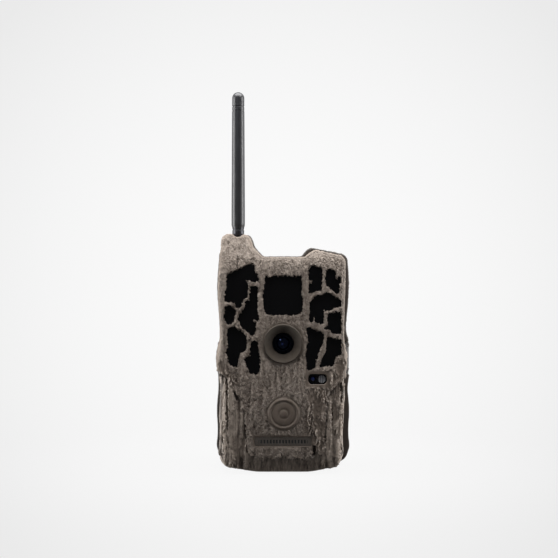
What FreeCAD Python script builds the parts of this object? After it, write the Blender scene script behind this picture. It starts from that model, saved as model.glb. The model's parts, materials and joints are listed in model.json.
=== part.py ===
"""Trail camera: a clamshell wildlife camera with a bark-moulded case and a cellular whip antenna.

The back shell straps to a tree or stands on a tripod. The front body carries all the electronics and
swings open on a side hinge, held shut by an over-centre latch on the other side.

Frame, in mm: the origin is the mouth of the tripod socket in the base, +Z is up, the lens looks along -Y
and +X is to the right of someone facing the lens. One STEP file per piece goes to parts/.
"""
import FreeCAD
import Part
import math
import os

V = FreeCAD.Vector

# ---- Driving dimensions ----
FRONT_Y = -49.0          # flat of the front face
SPLIT_Y = -11.0          # plane where the two halves meet
SHELL_BACK_Y = 15.0      # back of the rear shell, before its tree bracket
WALL = 2.6               # side wall of both shells
FRONT_WALL = 3.0         # front wall of the front body
SKIN = 1.6               # part of the front wall left in front of the windows
FRONT_FILLET = 3.0
BACK_FILLET = 3.5

LENS_Z = 96.4            # height of the lens axis
PIR_Z = 132.0            # height of the motion sensor window
CABLE_Z = 85.0           # lock cable tube

ANTENNA_X, ANTENNA_Y = -34.0, -24.0
BOSS_TOP = 178.0         # top of the antenna boss
SEAT_Z = 175.6           # flat that the antenna connector's nut clamps on
ANTENNA_TOP = 286.4

HINGE_X, HINGE_Y, HINGE_Z = -47.9, -8.0, 83.0
HINGE_PIN_R = 1.1
KNUCKLE_R = 2.5
KNUCKLE_LENGTH = 4.8
RUNNING_GAP = 0.4        # end gap between neighbouring knuckles

LATCH_Z = 83.5
LATCH_HALF = 7.6              # half the height of the lever
LATCH_EAR = 1.8               # thickness of the ears above and below it
BAIL_HALF = 10.9              # half the height between the bail's arms
LATCH_RECESS = 12.4           # half the height of the recess they lie in
LEVER_SLOT = 8.3              # half the height of the slot that goes on behind it for the lever's handle
LATCH_PIVOT = (48.6, -4.0)    # lever pivot, on the rear shell
BAIL_PIVOT = (47.8, 2.0)      # bail pivot, on the lever
BAIL_CATCH = (47.8, -22.0)    # where the bail's crossbar lies in front of the keeper
BAIL_R = 1.0
LATCH_PIN_R = 1.0

PANEL_Y0, PANEL_Y1 = -13.2, -11.2      # inner panel
BOARD_Y0, BOARD_Y1 = -19.6, -18.0      # main board
BOARD_HALF, BOARD_Z0, BOARD_Z1 = 38.0, 71.0, 150.0
KEY_CENTRE = (6.0, 90.0)
KEY_OFFSETS = {"key_up": (0, 9.5), "key_down": (0, -9.5), "key_left": (-11, 0), "key_right": (11, 0),
               "key_ok": (0, 0)}
KEY_R = 3.6
SWITCH_X, SWITCH_Z = 30.0, 84.0        # mode switch knob's middle, in its off position
CARD_X, CARD_Z0 = -25.0, 75.5          # memory card's middle and lower edge
USB_X = 27.5                           # middle of the data port
STATUS_X, STATUS_Z = 25.5, 70.2        # middle of the small sensor window
BADGE_CENTRE = (0.5, 44.5)
LED_PITCH = 8.0

CELL_R, CELL_LENGTH = 7.1, 49.2        # AA cell without its nub
CELL_PITCH = 15.2
CELL_Y = (-37.0, -21.8)                # the two layers of cells
TRAY_HALF, TRAY_Z0, TRAY_Z1 = 33.0, 10.3, 66.7
TRAY_Y0, TRAY_Y1 = -45.4, -13.0

PLUG_X, PLUG_Y = 12.0, -30.0           # external power socket, in the base of the front body
TRIPOD_R, TRIPOD_LENGTH = 2.6, 8.0     # 1/4-20 tapping size
CABLE_R, CABLE_Y = 5.0, 20.5           # lock cable tube across the tree bracket
BRACKET_HALF, BRACKET_Z0, BRACKET_Z1, BRACKET_BACK = 26.0, 34.0, 136.0, 23.0
STRAP_HEIGHT, STRAP_Y0, STRAP_Y1 = 27.0, 16.2, 21.4
STRAP_Z = (56.0, 114.0)
RIDGE_BACK = 28.0                      # tips of the bracket's teeth

# Side outline stations: height, rear half width, front body's reach to the left and to the right (it stops
# short on the latch side, where the rear shell's edge shows), radius of the bend there.
SIDE = [
    (26.0, 50.2, 47.8, 44.9, 70),
    (44.0, 51.6, 48.4, 46.3, 100),
    (65.0, 49.3, 47.3, 46.0, 75),
    (84.5, 52.6, 49.8, 47.6, 33),
    (100.7, 47.9, 46.5, 45.0, 18),
    (137.0, 51.4, 48.5, 45.9, 190),
]
# The tops, from the antenna boss across the saddle to the right-hand shoulder: x, z, radius.
REAR_TOP = [
    (-49.1, 163.5, 5), (-47.2, 167.5, 5), (-47.5, 178.7, 4.6), (-25.3, 178.0, 4.2), (-22.0, 168.8, 8),
    (-15.2, 161.6, 3.5), (14.6, 161.6, 4), (20.4, 168.6, 5.5), (49.6, 163.0, 7),
]
FRONT_TOP = [
    (-47.0, 163.0, 5), (-46.0, 167.5, 5), (-46.2, BOSS_TOP, 5), (-25.9, 177.3, 4.5), (-22.8, 168.0, 8),
    (-15.6, 160.4, 3.5), (16.2, 160.4, 4), (23.3, 165.9, 4.5), (46.3, 161.0, 6.0),
]
# Openings in the bark, each a ragged patch that shows the black window behind it: x, z.
BARK_OPENINGS = {
    "left_top": [(-41.2, 147.8), (-37.2, 149), (-30.5, 152.2), (-27, 154.2), (-23.2, 155), (-21.5, 153.8),
                 (-21.2, 149), (-19.5, 148), (-18.2, 142.8), (-22, 142), (-25.2, 143.8), (-27.8, 143.2),
                 (-26, 140.5), (-26.8, 130.5), (-29.8, 129.8), (-31, 124.5), (-33.2, 122.8),
                 (-35.2, 124), (-37, 127.8), (-39.2, 128), (-40.8, 127), (-43.5, 128.8), (-42.2, 135.8)],
    "left_long": [(-23.8, 138.8), (-19, 139), (-19.2, 128.5), (-19, 118.8), (-17.8, 113.5), (-19.5, 113.2),
                  (-20.8, 115), (-22, 114.8), (-22, 112.5), (-20, 111.5), (-20.2, 107.5), (-22, 101.8),
                  (-24.2, 103.2), (-27, 106), (-30, 108), (-31.2, 110.8), (-33.2, 114), (-32.8, 117.2),
                  (-30.5, 119), (-30.5, 120.8), (-27.8, 122.8), (-27.8, 127.8), (-25, 128.5)],
    "left_edge": [(-42.8, 123.8), (-38.5, 124.2), (-35.2, 120.8), (-35, 118.8), (-36.5, 117.2),
                  (-36.5, 112.5), (-41, 110.8), (-42.5, 112.8), (-43.8, 117.2), (-42.8, 119.5)],
    "left_low": [(-40.5, 107.5), (-36, 109), (-33.8, 106.5), (-31.2, 106), (-27, 101.5), (-27.2, 92.2),
                 (-31.8, 89.5), (-33.2, 85), (-34, 79), (-37.2, 80), (-39.8, 81.5), (-40.5, 85),
                 (-42, 90), (-40.5, 96.2), (-41.2, 103.5)],
    "left_foot": [(-23, 98), (-19, 98.5), (-18.8, 93.2), (-17.8, 88.2), (-17, 81), (-18, 74.5),
                  (-20.2, 73.5), (-22, 74.5), (-24, 74.2), (-25.2, 77.5), (-27, 80), (-28.8, 85.5),
                  (-23.8, 87), (-25, 89), (-24, 93.2)],
    "right_top": [(19.8, 153), (21.8, 154.2), (23.8, 153.2), (28.5, 152), (28.8, 144.5), (28.2, 135.8),
                  (24.5, 135.8), (19.2, 133.2), (19, 137), (19.8, 141), (21.8, 141.2), (21.8, 143.2),
                  (19.5, 144), (19, 147.8)],
    "right_corner": [(32.5, 150.5), (34, 151.5), (38, 149.8), (39, 148), (38, 145.8), (40, 143.5),
                     (41.8, 146), (42.5, 145.2), (42, 141.2), (41.2, 133.8), (39.2, 134), (37, 136),
                     (34, 139), (32.5, 139.2), (31.5, 144.5)],
    "right_arch": [(33, 134.5), (43, 128), (43, 123.8), (37.8, 123.5), (35.8, 121.5), (31.8, 121),
                   (30.8, 122), (29.8, 121.2), (30, 115.5), (29.8, 111.2), (24, 112.5), (23.8, 116),
                   (22.5, 116.5), (21.8, 112.5), (19.8, 112.5), (19.5, 117.2), (20.2, 121.2),
                   (19.8, 126), (22, 129.2), (26, 132.5), (29.2, 132)],
    "right_edge": [(33.2, 118.5), (37.8, 118.5), (39.2, 119.8), (42.8, 119.8), (43, 115.2), (42, 114.5),
                   (43, 113.5), (42.8, 104), (37, 104.2), (35.2, 106.5), (29.8, 108), (33.2, 109.5),
                   (33.2, 112.5), (32.5, 114)],
    "right_low": [(16.8, 108), (20.8, 107.5), (24.8, 105.2), (26.8, 106), (30, 103.2), (29, 96.2),
                  (26.5, 91.5), (25.2, 86), (23.8, 83), (23.8, 78.8), (21.8, 78.2), (20.5, 77), (18, 77),
                  (17.8, 82.8), (16.8, 87.5), (17.8, 94), (19, 98.8), (18.8, 102.8)],
    "right_foot": [(33.2, 101.2), (36, 100.2), (38, 99.5), (42.8, 99.5), (42.8, 88), (39, 87),
                   (38, 83.5), (37, 79.8), (33.2, 80.2), (27.8, 79.2), (28.5, 85), (31, 88.2),
                   (32.2, 92.2), (32.5, 97.2)],
    "motion": [(-13.5, 146), (-10, 145.2), (-6, 146.2), (-2.8, 145.9), (2.8, 146.2), (6.8, 145.6),
               (13.5, 146.4), (14, 140.5), (13.2, 134.8), (14.5, 129.2), (14.2, 121.2), (12.8, 119),
               (8.5, 118.2), (2.8, 117.5), (-2, 118.2), (-6, 117.5), (-13.2, 118.8), (-14, 124.5),
               (-14.8, 132.5), (-13.5, 139)],
}
# Rebates behind the openings, which hold the window plates: x from, x to, z from, z to.
WINDOW_SEATS = {
    "ir_window_left": (-44.2, -16.0, 72.5, 156.4),
    "ir_window_right": (16.0, 43.7, 76.0, 155.6),
    "pir_lens": (-15.4, 15.4, 116.6, 147.4),
}
PANEL_SCREWS = [(-41.0, 12.0), (38.9, 12.0), (-41.2, 70.0), (39.0, 70.0), (-42.0, 157.0), (40.4, 155.8),
                (0.0, 154.4)]
BOARD_SCREWS = [(-29.0, 147.2), (35.0, 146.8), (35.5, 74.4), (-8.5, 74.4)]
BRACKET_SCREWS = [(-18.0, 38.4), (18.0, 38.4), (-18.0, 131.6), (18.0, 131.6)]
BRACKET_SEAT_Y = 13.4                  # where the heads of the bracket's screws sit, sunk in the back wall
SCREW_R, SCREW_LENGTH = 0.98, 6.0


# ---- Shape helpers ----
def on_xz(y):
    """Places outline points (x, z) at depth y."""
    return lambda a, b: V(a, y, b)


def on_yz(x):
    """Places outline points (y, z) at sideways position x."""
    return lambda a, b: V(x, a, b)


def on_xy(z):
    """Places outline points (x, y) at height z."""
    return lambda a, b: V(a, b, z)


def rounded_wire(corners, place):
    """A closed wire of straight runs, with an arc of the given radius at each corner (a, b, radius)."""
    points = [place(c[0], c[1]) for c in corners]
    starts, mids, ends = [], [], []
    for i, p in enumerate(points):
        radius = corners[i][2] if len(corners[i]) > 2 else 0
        back = (points[i - 1] - p).normalize()
        ahead = (points[(i + 1) % len(points)] - p).normalize()
        half = back.getAngle(ahead) / 2
        if radius == 0:
            starts.append(p)
            mids.append(None)
            ends.append(p)
            continue
        reach = radius / math.tan(half)
        towards = (back + ahead).normalize()
        starts.append(p + back * reach)
        mids.append(p + towards * (radius / math.sin(half) - radius))
        ends.append(p + ahead * reach)
    edges = []
    for i in range(len(points)):
        if mids[i] is not None:
            edges.append(Part.Arc(starts[i], mids[i], ends[i]).toShape())
        following = starts[(i + 1) % len(points)]
        if (following - ends[i]).Length > 1e-6:
            edges.append(Part.makeLine(ends[i], following))
    return Part.Wire(edges)


def prism_y(corners, y0, y1, inset=0.0):
    """An outline in X and Z, drawn in by inset, extruded from y0 to y1."""
    wire = rounded_wire(corners, on_xz(y0))
    if inset:
        wire = wire.makeOffset2D(-inset)
    return Part.Face(wire).extrude(V(0, y1 - y0, 0))


def prism_x(corners, x0, x1):
    return Part.Face(rounded_wire(corners, on_yz(x0))).extrude(V(x1 - x0, 0, 0))


def prism_z(corners, z0, z1):
    return Part.Face(rounded_wire(corners, on_xy(z0))).extrude(V(0, 0, z1 - z0))


def box(x0, x1, y0, y1, z0, z1):
    return Part.makeBox(x1 - x0, y1 - y0, z1 - z0, V(x0, y0, z0))


def rounded_box(x0, x1, y0, y1, z0, z1, r):
    """A box whose four edges along Y are rounded."""
    return prism_y([(x0, z0, r), (x1, z0, r), (x1, z1, r), (x0, z1, r)], y0, y1)


def rod(r, start, direction, length):
    return Part.makeCylinder(r, length, V(*start), V(*direction))


def rod_y(r, x, z, y0, y1):
    return rod(r, (x, y0, z), (0, 1, 0), y1 - y0)


def rod_z(r, x, y, z0, z1):
    return rod(r, (x, y, z0), (0, 0, 1), z1 - z0)


def turned_y(profile, x, z):
    """A profile of (radius, y) turned about the axis along Y through x and z."""
    points = [V(x + r, y, z) for r, y in profile]
    face = Part.Face(Part.makePolygon(points + points[:1]))
    return face.revolve(V(x, 0, z), V(0, 1, 0), 360)


def turned_z(profile, x, y):
    """A profile of (radius, z) turned about the axis along Z through x and y."""
    points = [V(x + r, y, z) for r, z in profile]
    face = Part.Face(Part.makePolygon(points + points[:1]))
    return face.revolve(V(x, y, 0), V(0, 0, 1), 360)


def hexagon_z(across_flats, x, y, z0, z1):
    reach = across_flats / math.sqrt(3)
    corners = [(x + reach * math.cos(math.radians(60 * k)), y + reach * math.sin(math.radians(60 * k)))
               for k in range(6)]
    return prism_z(corners, z0, z1)


def tube_along(points, radius):
    """A round tube along straight runs joined by tangent arcs, each as large as its two runs allow."""
    edges, here = [], points[0]
    for before, p, after in zip(points, points[1:], points[2:]):
        back, ahead = (before - p), (after - p)
        turn = math.pi - back.getAngle(ahead)
        reach = 0.45 * min(back.Length, ahead.Length)
        bend = reach / math.tan(turn / 2)
        start, end = p + back.normalize() * reach, p + ahead.normalize() * reach
        towards = (back + ahead).normalize()
        middle = p + towards * (bend / math.cos(turn / 2) - bend)
        edges += [Part.makeLine(here, start), Part.Arc(start, middle, end).toShape()]
        print("tube bend radius %.1f mm" % bend)
        here = end
    edges.append(Part.makeLine(here, points[-1]))
    path = Part.Wire(edges)
    ring = Part.Wire(Part.makeCircle(radius, points[0], points[1] - points[0]))
    return path.makePipeShell([ring], True, False)


def fused(shapes):
    return shapes[0].multiFuse(shapes[1:]).removeSplitter()


def filleted(shape, radius, picks):
    """Rounds the edges that picks chooses, or leaves the shape sharp and says so."""
    edges = [e for e in shape.Edges if picks(e)]
    try:
        return shape.makeFillet(radius, edges)
    except Exception:
        print("a fillet of %.1f mm was left out" % radius)
        return shape


# ---- Outlines of the two halves ----
def flank(column, x_low, x_corner):
    """One side from the foot up, mirrored to the left by the caller; column picks the station's reach."""
    foot = [(20.0, 0.0, 40), (x_corner, 4.2, 9), (x_low, 15.5, 11)]
    return foot + [(s[column], s[0], s[4]) for s in SIDE]


def case_outline(left, top, right):
    """Corner points round a half, clockwise from the left of its base."""
    return [(-x, z, r) for x, z, r in left] + top + right[::-1]


REAR_OUTLINE = case_outline(flank(1, 51.6, 48.0), REAR_TOP, flank(1, 51.6, 48.0))
FRONT_OUTLINE = case_outline(flank(2, 49.0, 45.8), FRONT_TOP, flank(3, 45.8, 42.8))


def front_profile(inset):
    """Side view of the front body, as (y, z, radius): upright, leaning back at the top and at the foot."""
    face = FRONT_Y + inset
    return [(SPLIT_Y + 1, -6), (face + 3.4, -6), (face, 12, 30), (face, 153.6, 44), (face + 11.4, 185),
            (SPLIT_Y + 1, 185)]


# ---- Front body ----
def hinge_knuckle(index, web_x, web_y):
    """One barrel of the case hinge, counted from the bottom, with the web that joins it to its half."""
    z0 = HINGE_Z - 2.5 * KNUCKLE_LENGTH - 2 * RUNNING_GAP + index * (KNUCKLE_LENGTH + RUNNING_GAP)
    barrel = rod_z(KNUCKLE_R, HINGE_X, HINGE_Y, z0, z0 + KNUCKLE_LENGTH)
    return barrel.fuse(box(web_x[0], web_x[1], web_y[0], web_y[1], z0, z0 + KNUCKLE_LENGTH))


def front_shell():
    """Outer form of the front body: its outline and its side profile, with the front edges rounded."""
    solid = prism_y(FRONT_OUTLINE, FRONT_Y - 1, SPLIT_Y).common(prism_x(front_profile(0), -60, 60))
    front_edges = lambda e: e.BoundBox.YMax < SPLIT_Y - 8 and e.BoundBox.XLength < 90 and not (
        abs(e.BoundBox.YLength) < 1e-6 and e.BoundBox.ZLength < 1e-6 and e.BoundBox.XLength > 85)
    return filleted(solid, FRONT_FILLET, front_edges)


def front_cavity():
    hollow = prism_y(FRONT_OUTLINE, FRONT_Y, SPLIT_Y + 1, WALL)
    return hollow.common(prism_x(front_profile(FRONT_WALL), -60, 60))


def antenna_seat_cuts():
    """The scoop across the boss's top and the flat pocket that the connector's nut sits in."""
    scoop = rod(5.3, (ANTENNA_X, FRONT_Y, BOSS_TOP + 2.8), (0, 1, 0), ANTENNA_Y - FRONT_Y)
    pocket = rod_z(6.2, ANTENNA_X, ANTENNA_Y, SEAT_Z, BOSS_TOP + 5)
    stem = rod_z(3.2, ANTENNA_X, ANTENNA_Y, SEAT_Z - 6, BOSS_TOP)
    return [scoop, pocket, stem]


def keeper():
    """The ledge on the front body that the latch's bail pulls back on."""
    catch_y = BAIL_CATCH[1] + BAIL_R + 0.06
    return filleted(box(44.4, 48.9, catch_y, catch_y + 3.4, LATCH_Z - 8.6, LATCH_Z + 8.6), 0.6,
                    lambda e: e.BoundBox.XMin > 48.8 and e.BoundBox.YMin > catch_y + 3)


def latch_recess_front():
    return box(44.9, 56, -25.0, SPLIT_Y + 1, LATCH_Z - LATCH_RECESS, LATCH_Z + LATCH_RECESS)


def latch_backing():
    """Thick wall behind the latch recess."""
    return box(42.3, 45.0, -27.0, SPLIT_Y, LATCH_Z - LATCH_RECESS - 2.5, LATCH_Z + LATCH_RECESS + 2.5)


def badge():
    """Plain round medallion: a low disc with a raised rim, a ring groove and a small boss."""
    x, z = BADGE_CENTRE
    outline = [(0, 1), (0, -1.0), (2.6, -0.9), (3.2, -0.3), (3.8, -0.3), (4.4, -0.7), (8.3, -0.6), (8.7, -0.05),
               (9.5, -0.05), (9.9, -0.9), (11.0, -0.9), (11.8, 0), (11.8, 1)]
    return turned_y([(r, FRONT_Y + dy) for r, dy in outline], x, z)


def front_housing():
    solid = front_shell().cut(front_cavity())
    posts = [rod_y(2.2, x, z, FRONT_Y + 1.5, PANEL_Y0) for x, z in PANEL_SCREWS]
    posts += [rod_y(1.2, STATUS_X + dx, STATUS_Z, FRONT_Y + 1.5, -40.02) for dx in (-7.6, 7.6)]
    seat_pad = rod_z(8.2, ANTENNA_X, ANTENNA_Y, SEAT_Z - 4.2, SEAT_Z + 0.5)
    plug_pad = rod_z(7.5, PLUG_X, PLUG_Y, 1.5, 5.0)
    inside = [p.common(prism_x(front_profile(1.0), -60, 60)) for p in posts] + [seat_pad, plug_pad]
    solid = solid.multiFuse(inside + [latch_backing()])
    cuts = [rod_y(SCREW_R + 0.02, x, z, PANEL_Y0 - 9, PANEL_Y0) for x, z in PANEL_SCREWS]
    cuts += antenna_seat_cuts() + [latch_recess_front()]
    cuts += [box(x0, x1, FRONT_Y + SKIN, FRONT_Y + FRONT_WALL + 0.4, z0, z1)
             for x0, x1, z0, z1 in WINDOW_SEATS.values()]
    cuts += [prism_y(outline, FRONT_Y - 1, FRONT_Y + FRONT_WALL) for outline in BARK_OPENINGS.values()]
    cuts.append(rod_y(13.6, 0, LENS_Z, FRONT_Y - 1, FRONT_Y + 6))
    cuts.append(rounded_box(STATUS_X - 7, STATUS_X + 7, FRONT_Y - 1, FRONT_Y + 5,
                            STATUS_Z - 3.8, STATUS_Z + 3.8, 3.0))
    cuts.append(box(-21.3, 21.3, FRONT_Y - 1, FRONT_Y + 0.8, 20.6, 27.4))
    cuts.append(rod_z(6.0, PLUG_X, PLUG_Y, -1, 2.0))
    cuts.append(rod_z(4.2, PLUG_X, PLUG_Y, 1, 6))
    solid = solid.cut(cuts)
    web = ((HINGE_X - 1.3, HINGE_X + 2.3), (SPLIT_Y - 1.5, HINGE_Y))
    knuckles = [hinge_knuckle(i, *web) for i in (1, 3)]
    solid = solid.multiFuse(knuckles + [keeper(), badge()])
    pin_hole = rod_z(HINGE_PIN_R + 0.05, HINGE_X, HINGE_Y, HINGE_Z - 18, HINGE_Z + 18)
    return solid.cut(pin_hole).removeSplitter()


def window_plate(name, clearance=0.15):
    x0, x1, z0, z1 = WINDOW_SEATS[name]
    c = clearance
    return box(x0 + c, x1 - c, FRONT_Y + SKIN + 0.02, FRONT_Y + FRONT_WALL, z0 + c, z1 - c)


def lens_bezel():
    """Shallow cone round the lens, whose rim stands on the front face."""
    face = FRONT_Y
    return turned_y([(7.8, face + 5.4), (7.8, face + 3.5), (13.7, face - 1.3), (14.2, face - 1.3),
                     (14.6, face - 0.9), (14.6, face - 0.03), (13.5, face - 0.03), (13.5, face + 3.6),
                     (11.2, face + 5.4)], 0, LENS_Z)


def lens_window():
    return rod_y(10.4, 0, LENS_Z, FRONT_Y + 5.42, FRONT_Y + 6.9)


def lens_barrel():
    """Threaded lens barrel with a wide front cell, bored for the glass."""
    back, front = -24.6, -41.2
    body = turned_y([(0, back), (6.0, back), (6.0, front + 4), (7.6, front + 3.6), (7.6, front + 0.4),
                     (7.2, front), (0, front)], 0, LENS_Z)
    bore = turned_y([(0, front - 1), (5.1, front - 1), (5.1, front + 2), (3.0, front + 3), (3.0, back + 1),
                     (0, back + 1)], 0, LENS_Z)
    return body.cut([bore, rod_y(3.6, 0, LENS_Z, back - 1, back + 2)])


def lens_glass():
    """Front lens element: a shallow dome in the barrel's mouth."""
    dome = Part.makeSphere(11.0, V(0, -30.4, LENS_Z)).common(rod_y(5.05, 0, LENS_Z, -41.8, -40.2))
    return dome.fuse(rod_y(5.05, 0, LENS_Z, -40.2, -39.25)).removeSplitter()


def lens_holder():
    """Block that carries the lens over the sensor, with a slot for the day and night filter."""
    block = box(-18, 18, -26.5, BOARD_Y0, LENS_Z - 9, LENS_Z + 9)
    slot = box(-17.2, 17.2, -23.7, -22.1, LENS_Z - 5.8, LENS_Z + 5.8)
    cell = box(-6.8, 6.8, -22.2, BOARD_Y0 + 1, LENS_Z - 6.8, LENS_Z + 6.8)
    return block.cut([slot, cell, rod_y(6.04, 0, LENS_Z, -27, -24.5), rod_y(4.6, 0, LENS_Z, -25, -22)])


def ir_cut_slider():
    """Sliding frame with two panes, clear and infrared-blocking, that swap in front of the sensor."""
    frame = box(-5.6, 16.6, -23.4, -22.4, LENS_Z - 5.6, LENS_Z + 5.6)
    return frame.cut([rod_y(4.7, x, LENS_Z, -24, -22) for x in (0.0, 11.0)])


def ir_cut_panes():
    return Part.makeCompound([rod_y(4.68, x, LENS_Z, -23.2, -22.6) for x in (0.0, 11.0)])


def image_sensor():
    return box(-6, 6, -20.9, BOARD_Y0, LENS_Z - 6, LENS_Z + 6)


def led_board(side):
    """Board behind one dark window, on two pin headers; side is -1 for the left and 1 for the right."""
    x0, x1 = sorted((side * 17.0, side * 41.6))
    headers = [box(side * 20 - 1.5, side * 20 + 1.5, -35.5, BOARD_Y0 - 0.02, z - 2.5, z + 2.5)
               for z in (109.0, 147.0)]
    return fused([box(x0, x1, -36.6, -35.0, 78.5, 152.3)] + headers)


def ir_leds():
    """Round infrared emitters, eighteen to a board in three columns."""
    places = [(side * (21.5 + LED_PITCH * column), 84.5 + 12.6 * row)
              for side in (-1, 1) for column in range(3) for row in range(6)]
    found = []
    for x, z in places:
        barrel = rod_y(2.5, x, z, -42.9, -36.6)
        flange = rod_y(2.9, x, z, -37.6, -36.6)
        tip = Part.makeSphere(2.5, V(x, -42.9, z))
        found.append(fused([barrel, flange, tip]))
    return Part.makeCompound(found)


def pir_sensor():
    can = rod_y(4.1, 0, PIR_Z, -23.8, BOARD_Y0)
    brim = rod_y(4.7, 0, PIR_Z, -20.2, BOARD_Y0)
    return fused([can, brim]).cut(box(-2.0, 2.0, -24.5, -23.5, PIR_Z - 1.5, PIR_Z + 1.5))


def pir_shroud():
    """Hollow pyramid that keeps stray heat and light off the motion sensor."""
    def frame(half, y):
        return rounded_wire([(-half, PIR_Z - half, 1), (half, PIR_Z - half, 1), (half, PIR_Z + half, 1),
                             (-half, PIR_Z + half, 1)], on_xz(y))
    outer = Part.makeLoft([frame(14.6, -45.8), frame(6.2, -24.4)], True)
    inner = Part.makeLoft([frame(13.8, -45.9), frame(5.2, -24.3)], True)
    return outer.cut(inner)


def sensor_window():
    """Black pill-shaped insert with one opening for the status light and one for the light sensor."""
    face = FRONT_Y + 0.7
    insert = rounded_box(STATUS_X - 6.85, STATUS_X + 6.85, face, face + 2.7,
                         STATUS_Z - 3.65, STATUS_Z + 3.65, 2.9)
    holes = [rod_y(2.6, STATUS_X - 3.4, STATUS_Z, face - 1, face + 5),
             rod_y(2.9, STATUS_X + 3.2, STATUS_Z, face - 1, face + 5)]
    return insert.cut(holes)


def status_led():
    x = STATUS_X - 3.4
    barrel = rod_y(2.5, x, STATUS_Z, FRONT_Y + 3.3, -40.0)
    return fused([barrel, Part.makeSphere(2.5, V(x, FRONT_Y + 3.3, STATUS_Z))])


def light_sensor():
    return rod_y(2.8, STATUS_X + 3.2, STATUS_Z, FRONT_Y + 1.2, -40.0)


def sensor_board():
    return box(STATUS_X - 9, STATUS_X + 9, -40.0, -38.4, 66.9, 74.5)


def nameplate():
    return rounded_box(-21.0, 21.0, FRONT_Y + 0.15, FRONT_Y + 0.8, 20.9, 27.1, 0.5)


def main_board():
    board = rounded_box(-BOARD_HALF, BOARD_HALF, BOARD_Y0, BOARD_Y1, BOARD_Z0, BOARD_Z1, 2)
    return board.cut([rod_y(1.3, x, z, BOARD_Y0 - 1, BOARD_Y1 + 1) for x, z in BOARD_SCREWS])


def cellular_module():
    """Radio module under its shielding can, on the front of the main board."""
    can = rounded_box(-36, -10, -22.4, BOARD_Y0 - 0.02, 114, 143, 1)
    return filleted(can, 0.4, lambda e: e.BoundBox.YMax < -22.3)


def card_sockets():
    """Memory card and SIM card sockets, on the back of the main board."""
    x0, x1 = CARD_X - 13.5, CARD_X + 13.5
    memory = box(x0, x1, BOARD_Y1, -14.4, 81.0, 109.0)
    memory = memory.cut(box(CARD_X - 12.2, CARD_X + 12.2, -17.6, -15.2, 80.0, 108.4))
    sim = box(26.0, 38.0, BOARD_Y1, -16.4, 104.0, 119.0).cut(box(27.5, 36.5, -17.4, -16.9, 103.0, 117.5))
    return Part.makeCompound([memory, sim])


def sd_card():
    outline = [(CARD_X - 12, CARD_Z0), (CARD_X + 12, CARD_Z0), (CARD_X + 12, CARD_Z0 + 32),
               (CARD_X - 8, CARD_Z0 + 32), (CARD_X - 12, CARD_Z0 + 28)]
    card = prism_y(outline, -17.45, -15.35)
    return card.cut(box(CARD_X - 8, CARD_X + 8, -15.7, -15.0, CARD_Z0 + 1.2, CARD_Z0 + 2.4))


def usb_port():
    shell = box(USB_X - 4, USB_X + 4, BOARD_Y1, -12.0, 71.5, 76.5)
    mouth = box(USB_X - 3.4, USB_X + 3.4, -16.5, -11.0, 72.1, 75.9)
    return shell.cut(mouth).fuse(box(USB_X - 2.4, USB_X + 2.4, -17.0, -12.6, 73.6, 74.4))


def key_places():
    return {name: (KEY_CENTRE[0] + dx, KEY_CENTRE[1] + dz) for name, (dx, dz) in KEY_OFFSETS.items()}


def tact_switches():
    switches = []
    for x, z in key_places().values():
        base = box(x - 3, x + 3, BOARD_Y1, -16.2, z - 3, z + 3)
        switches.append(base.fuse(rod_y(1.7, x, z, -16.2, -15.6)))
    return Part.makeCompound(switches)


def key(x, z):
    """One menu key: a domed cap through the panel, with a flange that keeps it in."""
    return turned_y([(0, -15.0), (4.3, -15.0), (4.3, -13.8), (KEY_R, -13.8), (KEY_R, -10.7), (3.0, -10.2),
                     (0, -10.0)], x, z)


def mode_switch_base():
    body = box(SWITCH_X - 3.2, SWITCH_X + 3.2, BOARD_Y1, -14.6, 79.5, 97.0)
    return body.cut(box(SWITCH_X - 1.8, SWITCH_X + 1.8, -16.8, -14, 81.2, 95.2))


def mode_switch_knob():
    """Knob at the foot of its slot: off. Test and on lie 4 and 8 mm above."""
    stem = box(SWITCH_X - 1.6, SWITCH_X + 1.6, -16.6, -11.0, SWITCH_Z - 2.2, SWITCH_Z + 2.2)
    cap = rounded_box(SWITCH_X - 2.6, SWITCH_X + 2.6, -11.1, -9.4, SWITCH_Z - 2.6, SWITCH_Z + 2.6, 0.8)
    grips = [box(SWITCH_X - 3, SWITCH_X + 3, -9.8, -9, SWITCH_Z + d - 0.3, SWITCH_Z + d + 0.3)
             for d in (-1.4, 0, 1.4)]
    return stem.fuse(cap).cut(grips)


def lcd_module():
    frame = box(-24, 24, BOARD_Y1, PANEL_Y0 - 0.02, 110.0, 146.0)
    return frame.cut(box(-20.4, 20.4, PANEL_Y0 - 0.5, PANEL_Y0 + 1, 112.9, 143.5))


def lcd_window():
    return rounded_box(-21.4, 21.4, PANEL_Y0, PANEL_Y1 - 0.4, 112.0, 144.4, 1.2)


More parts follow.
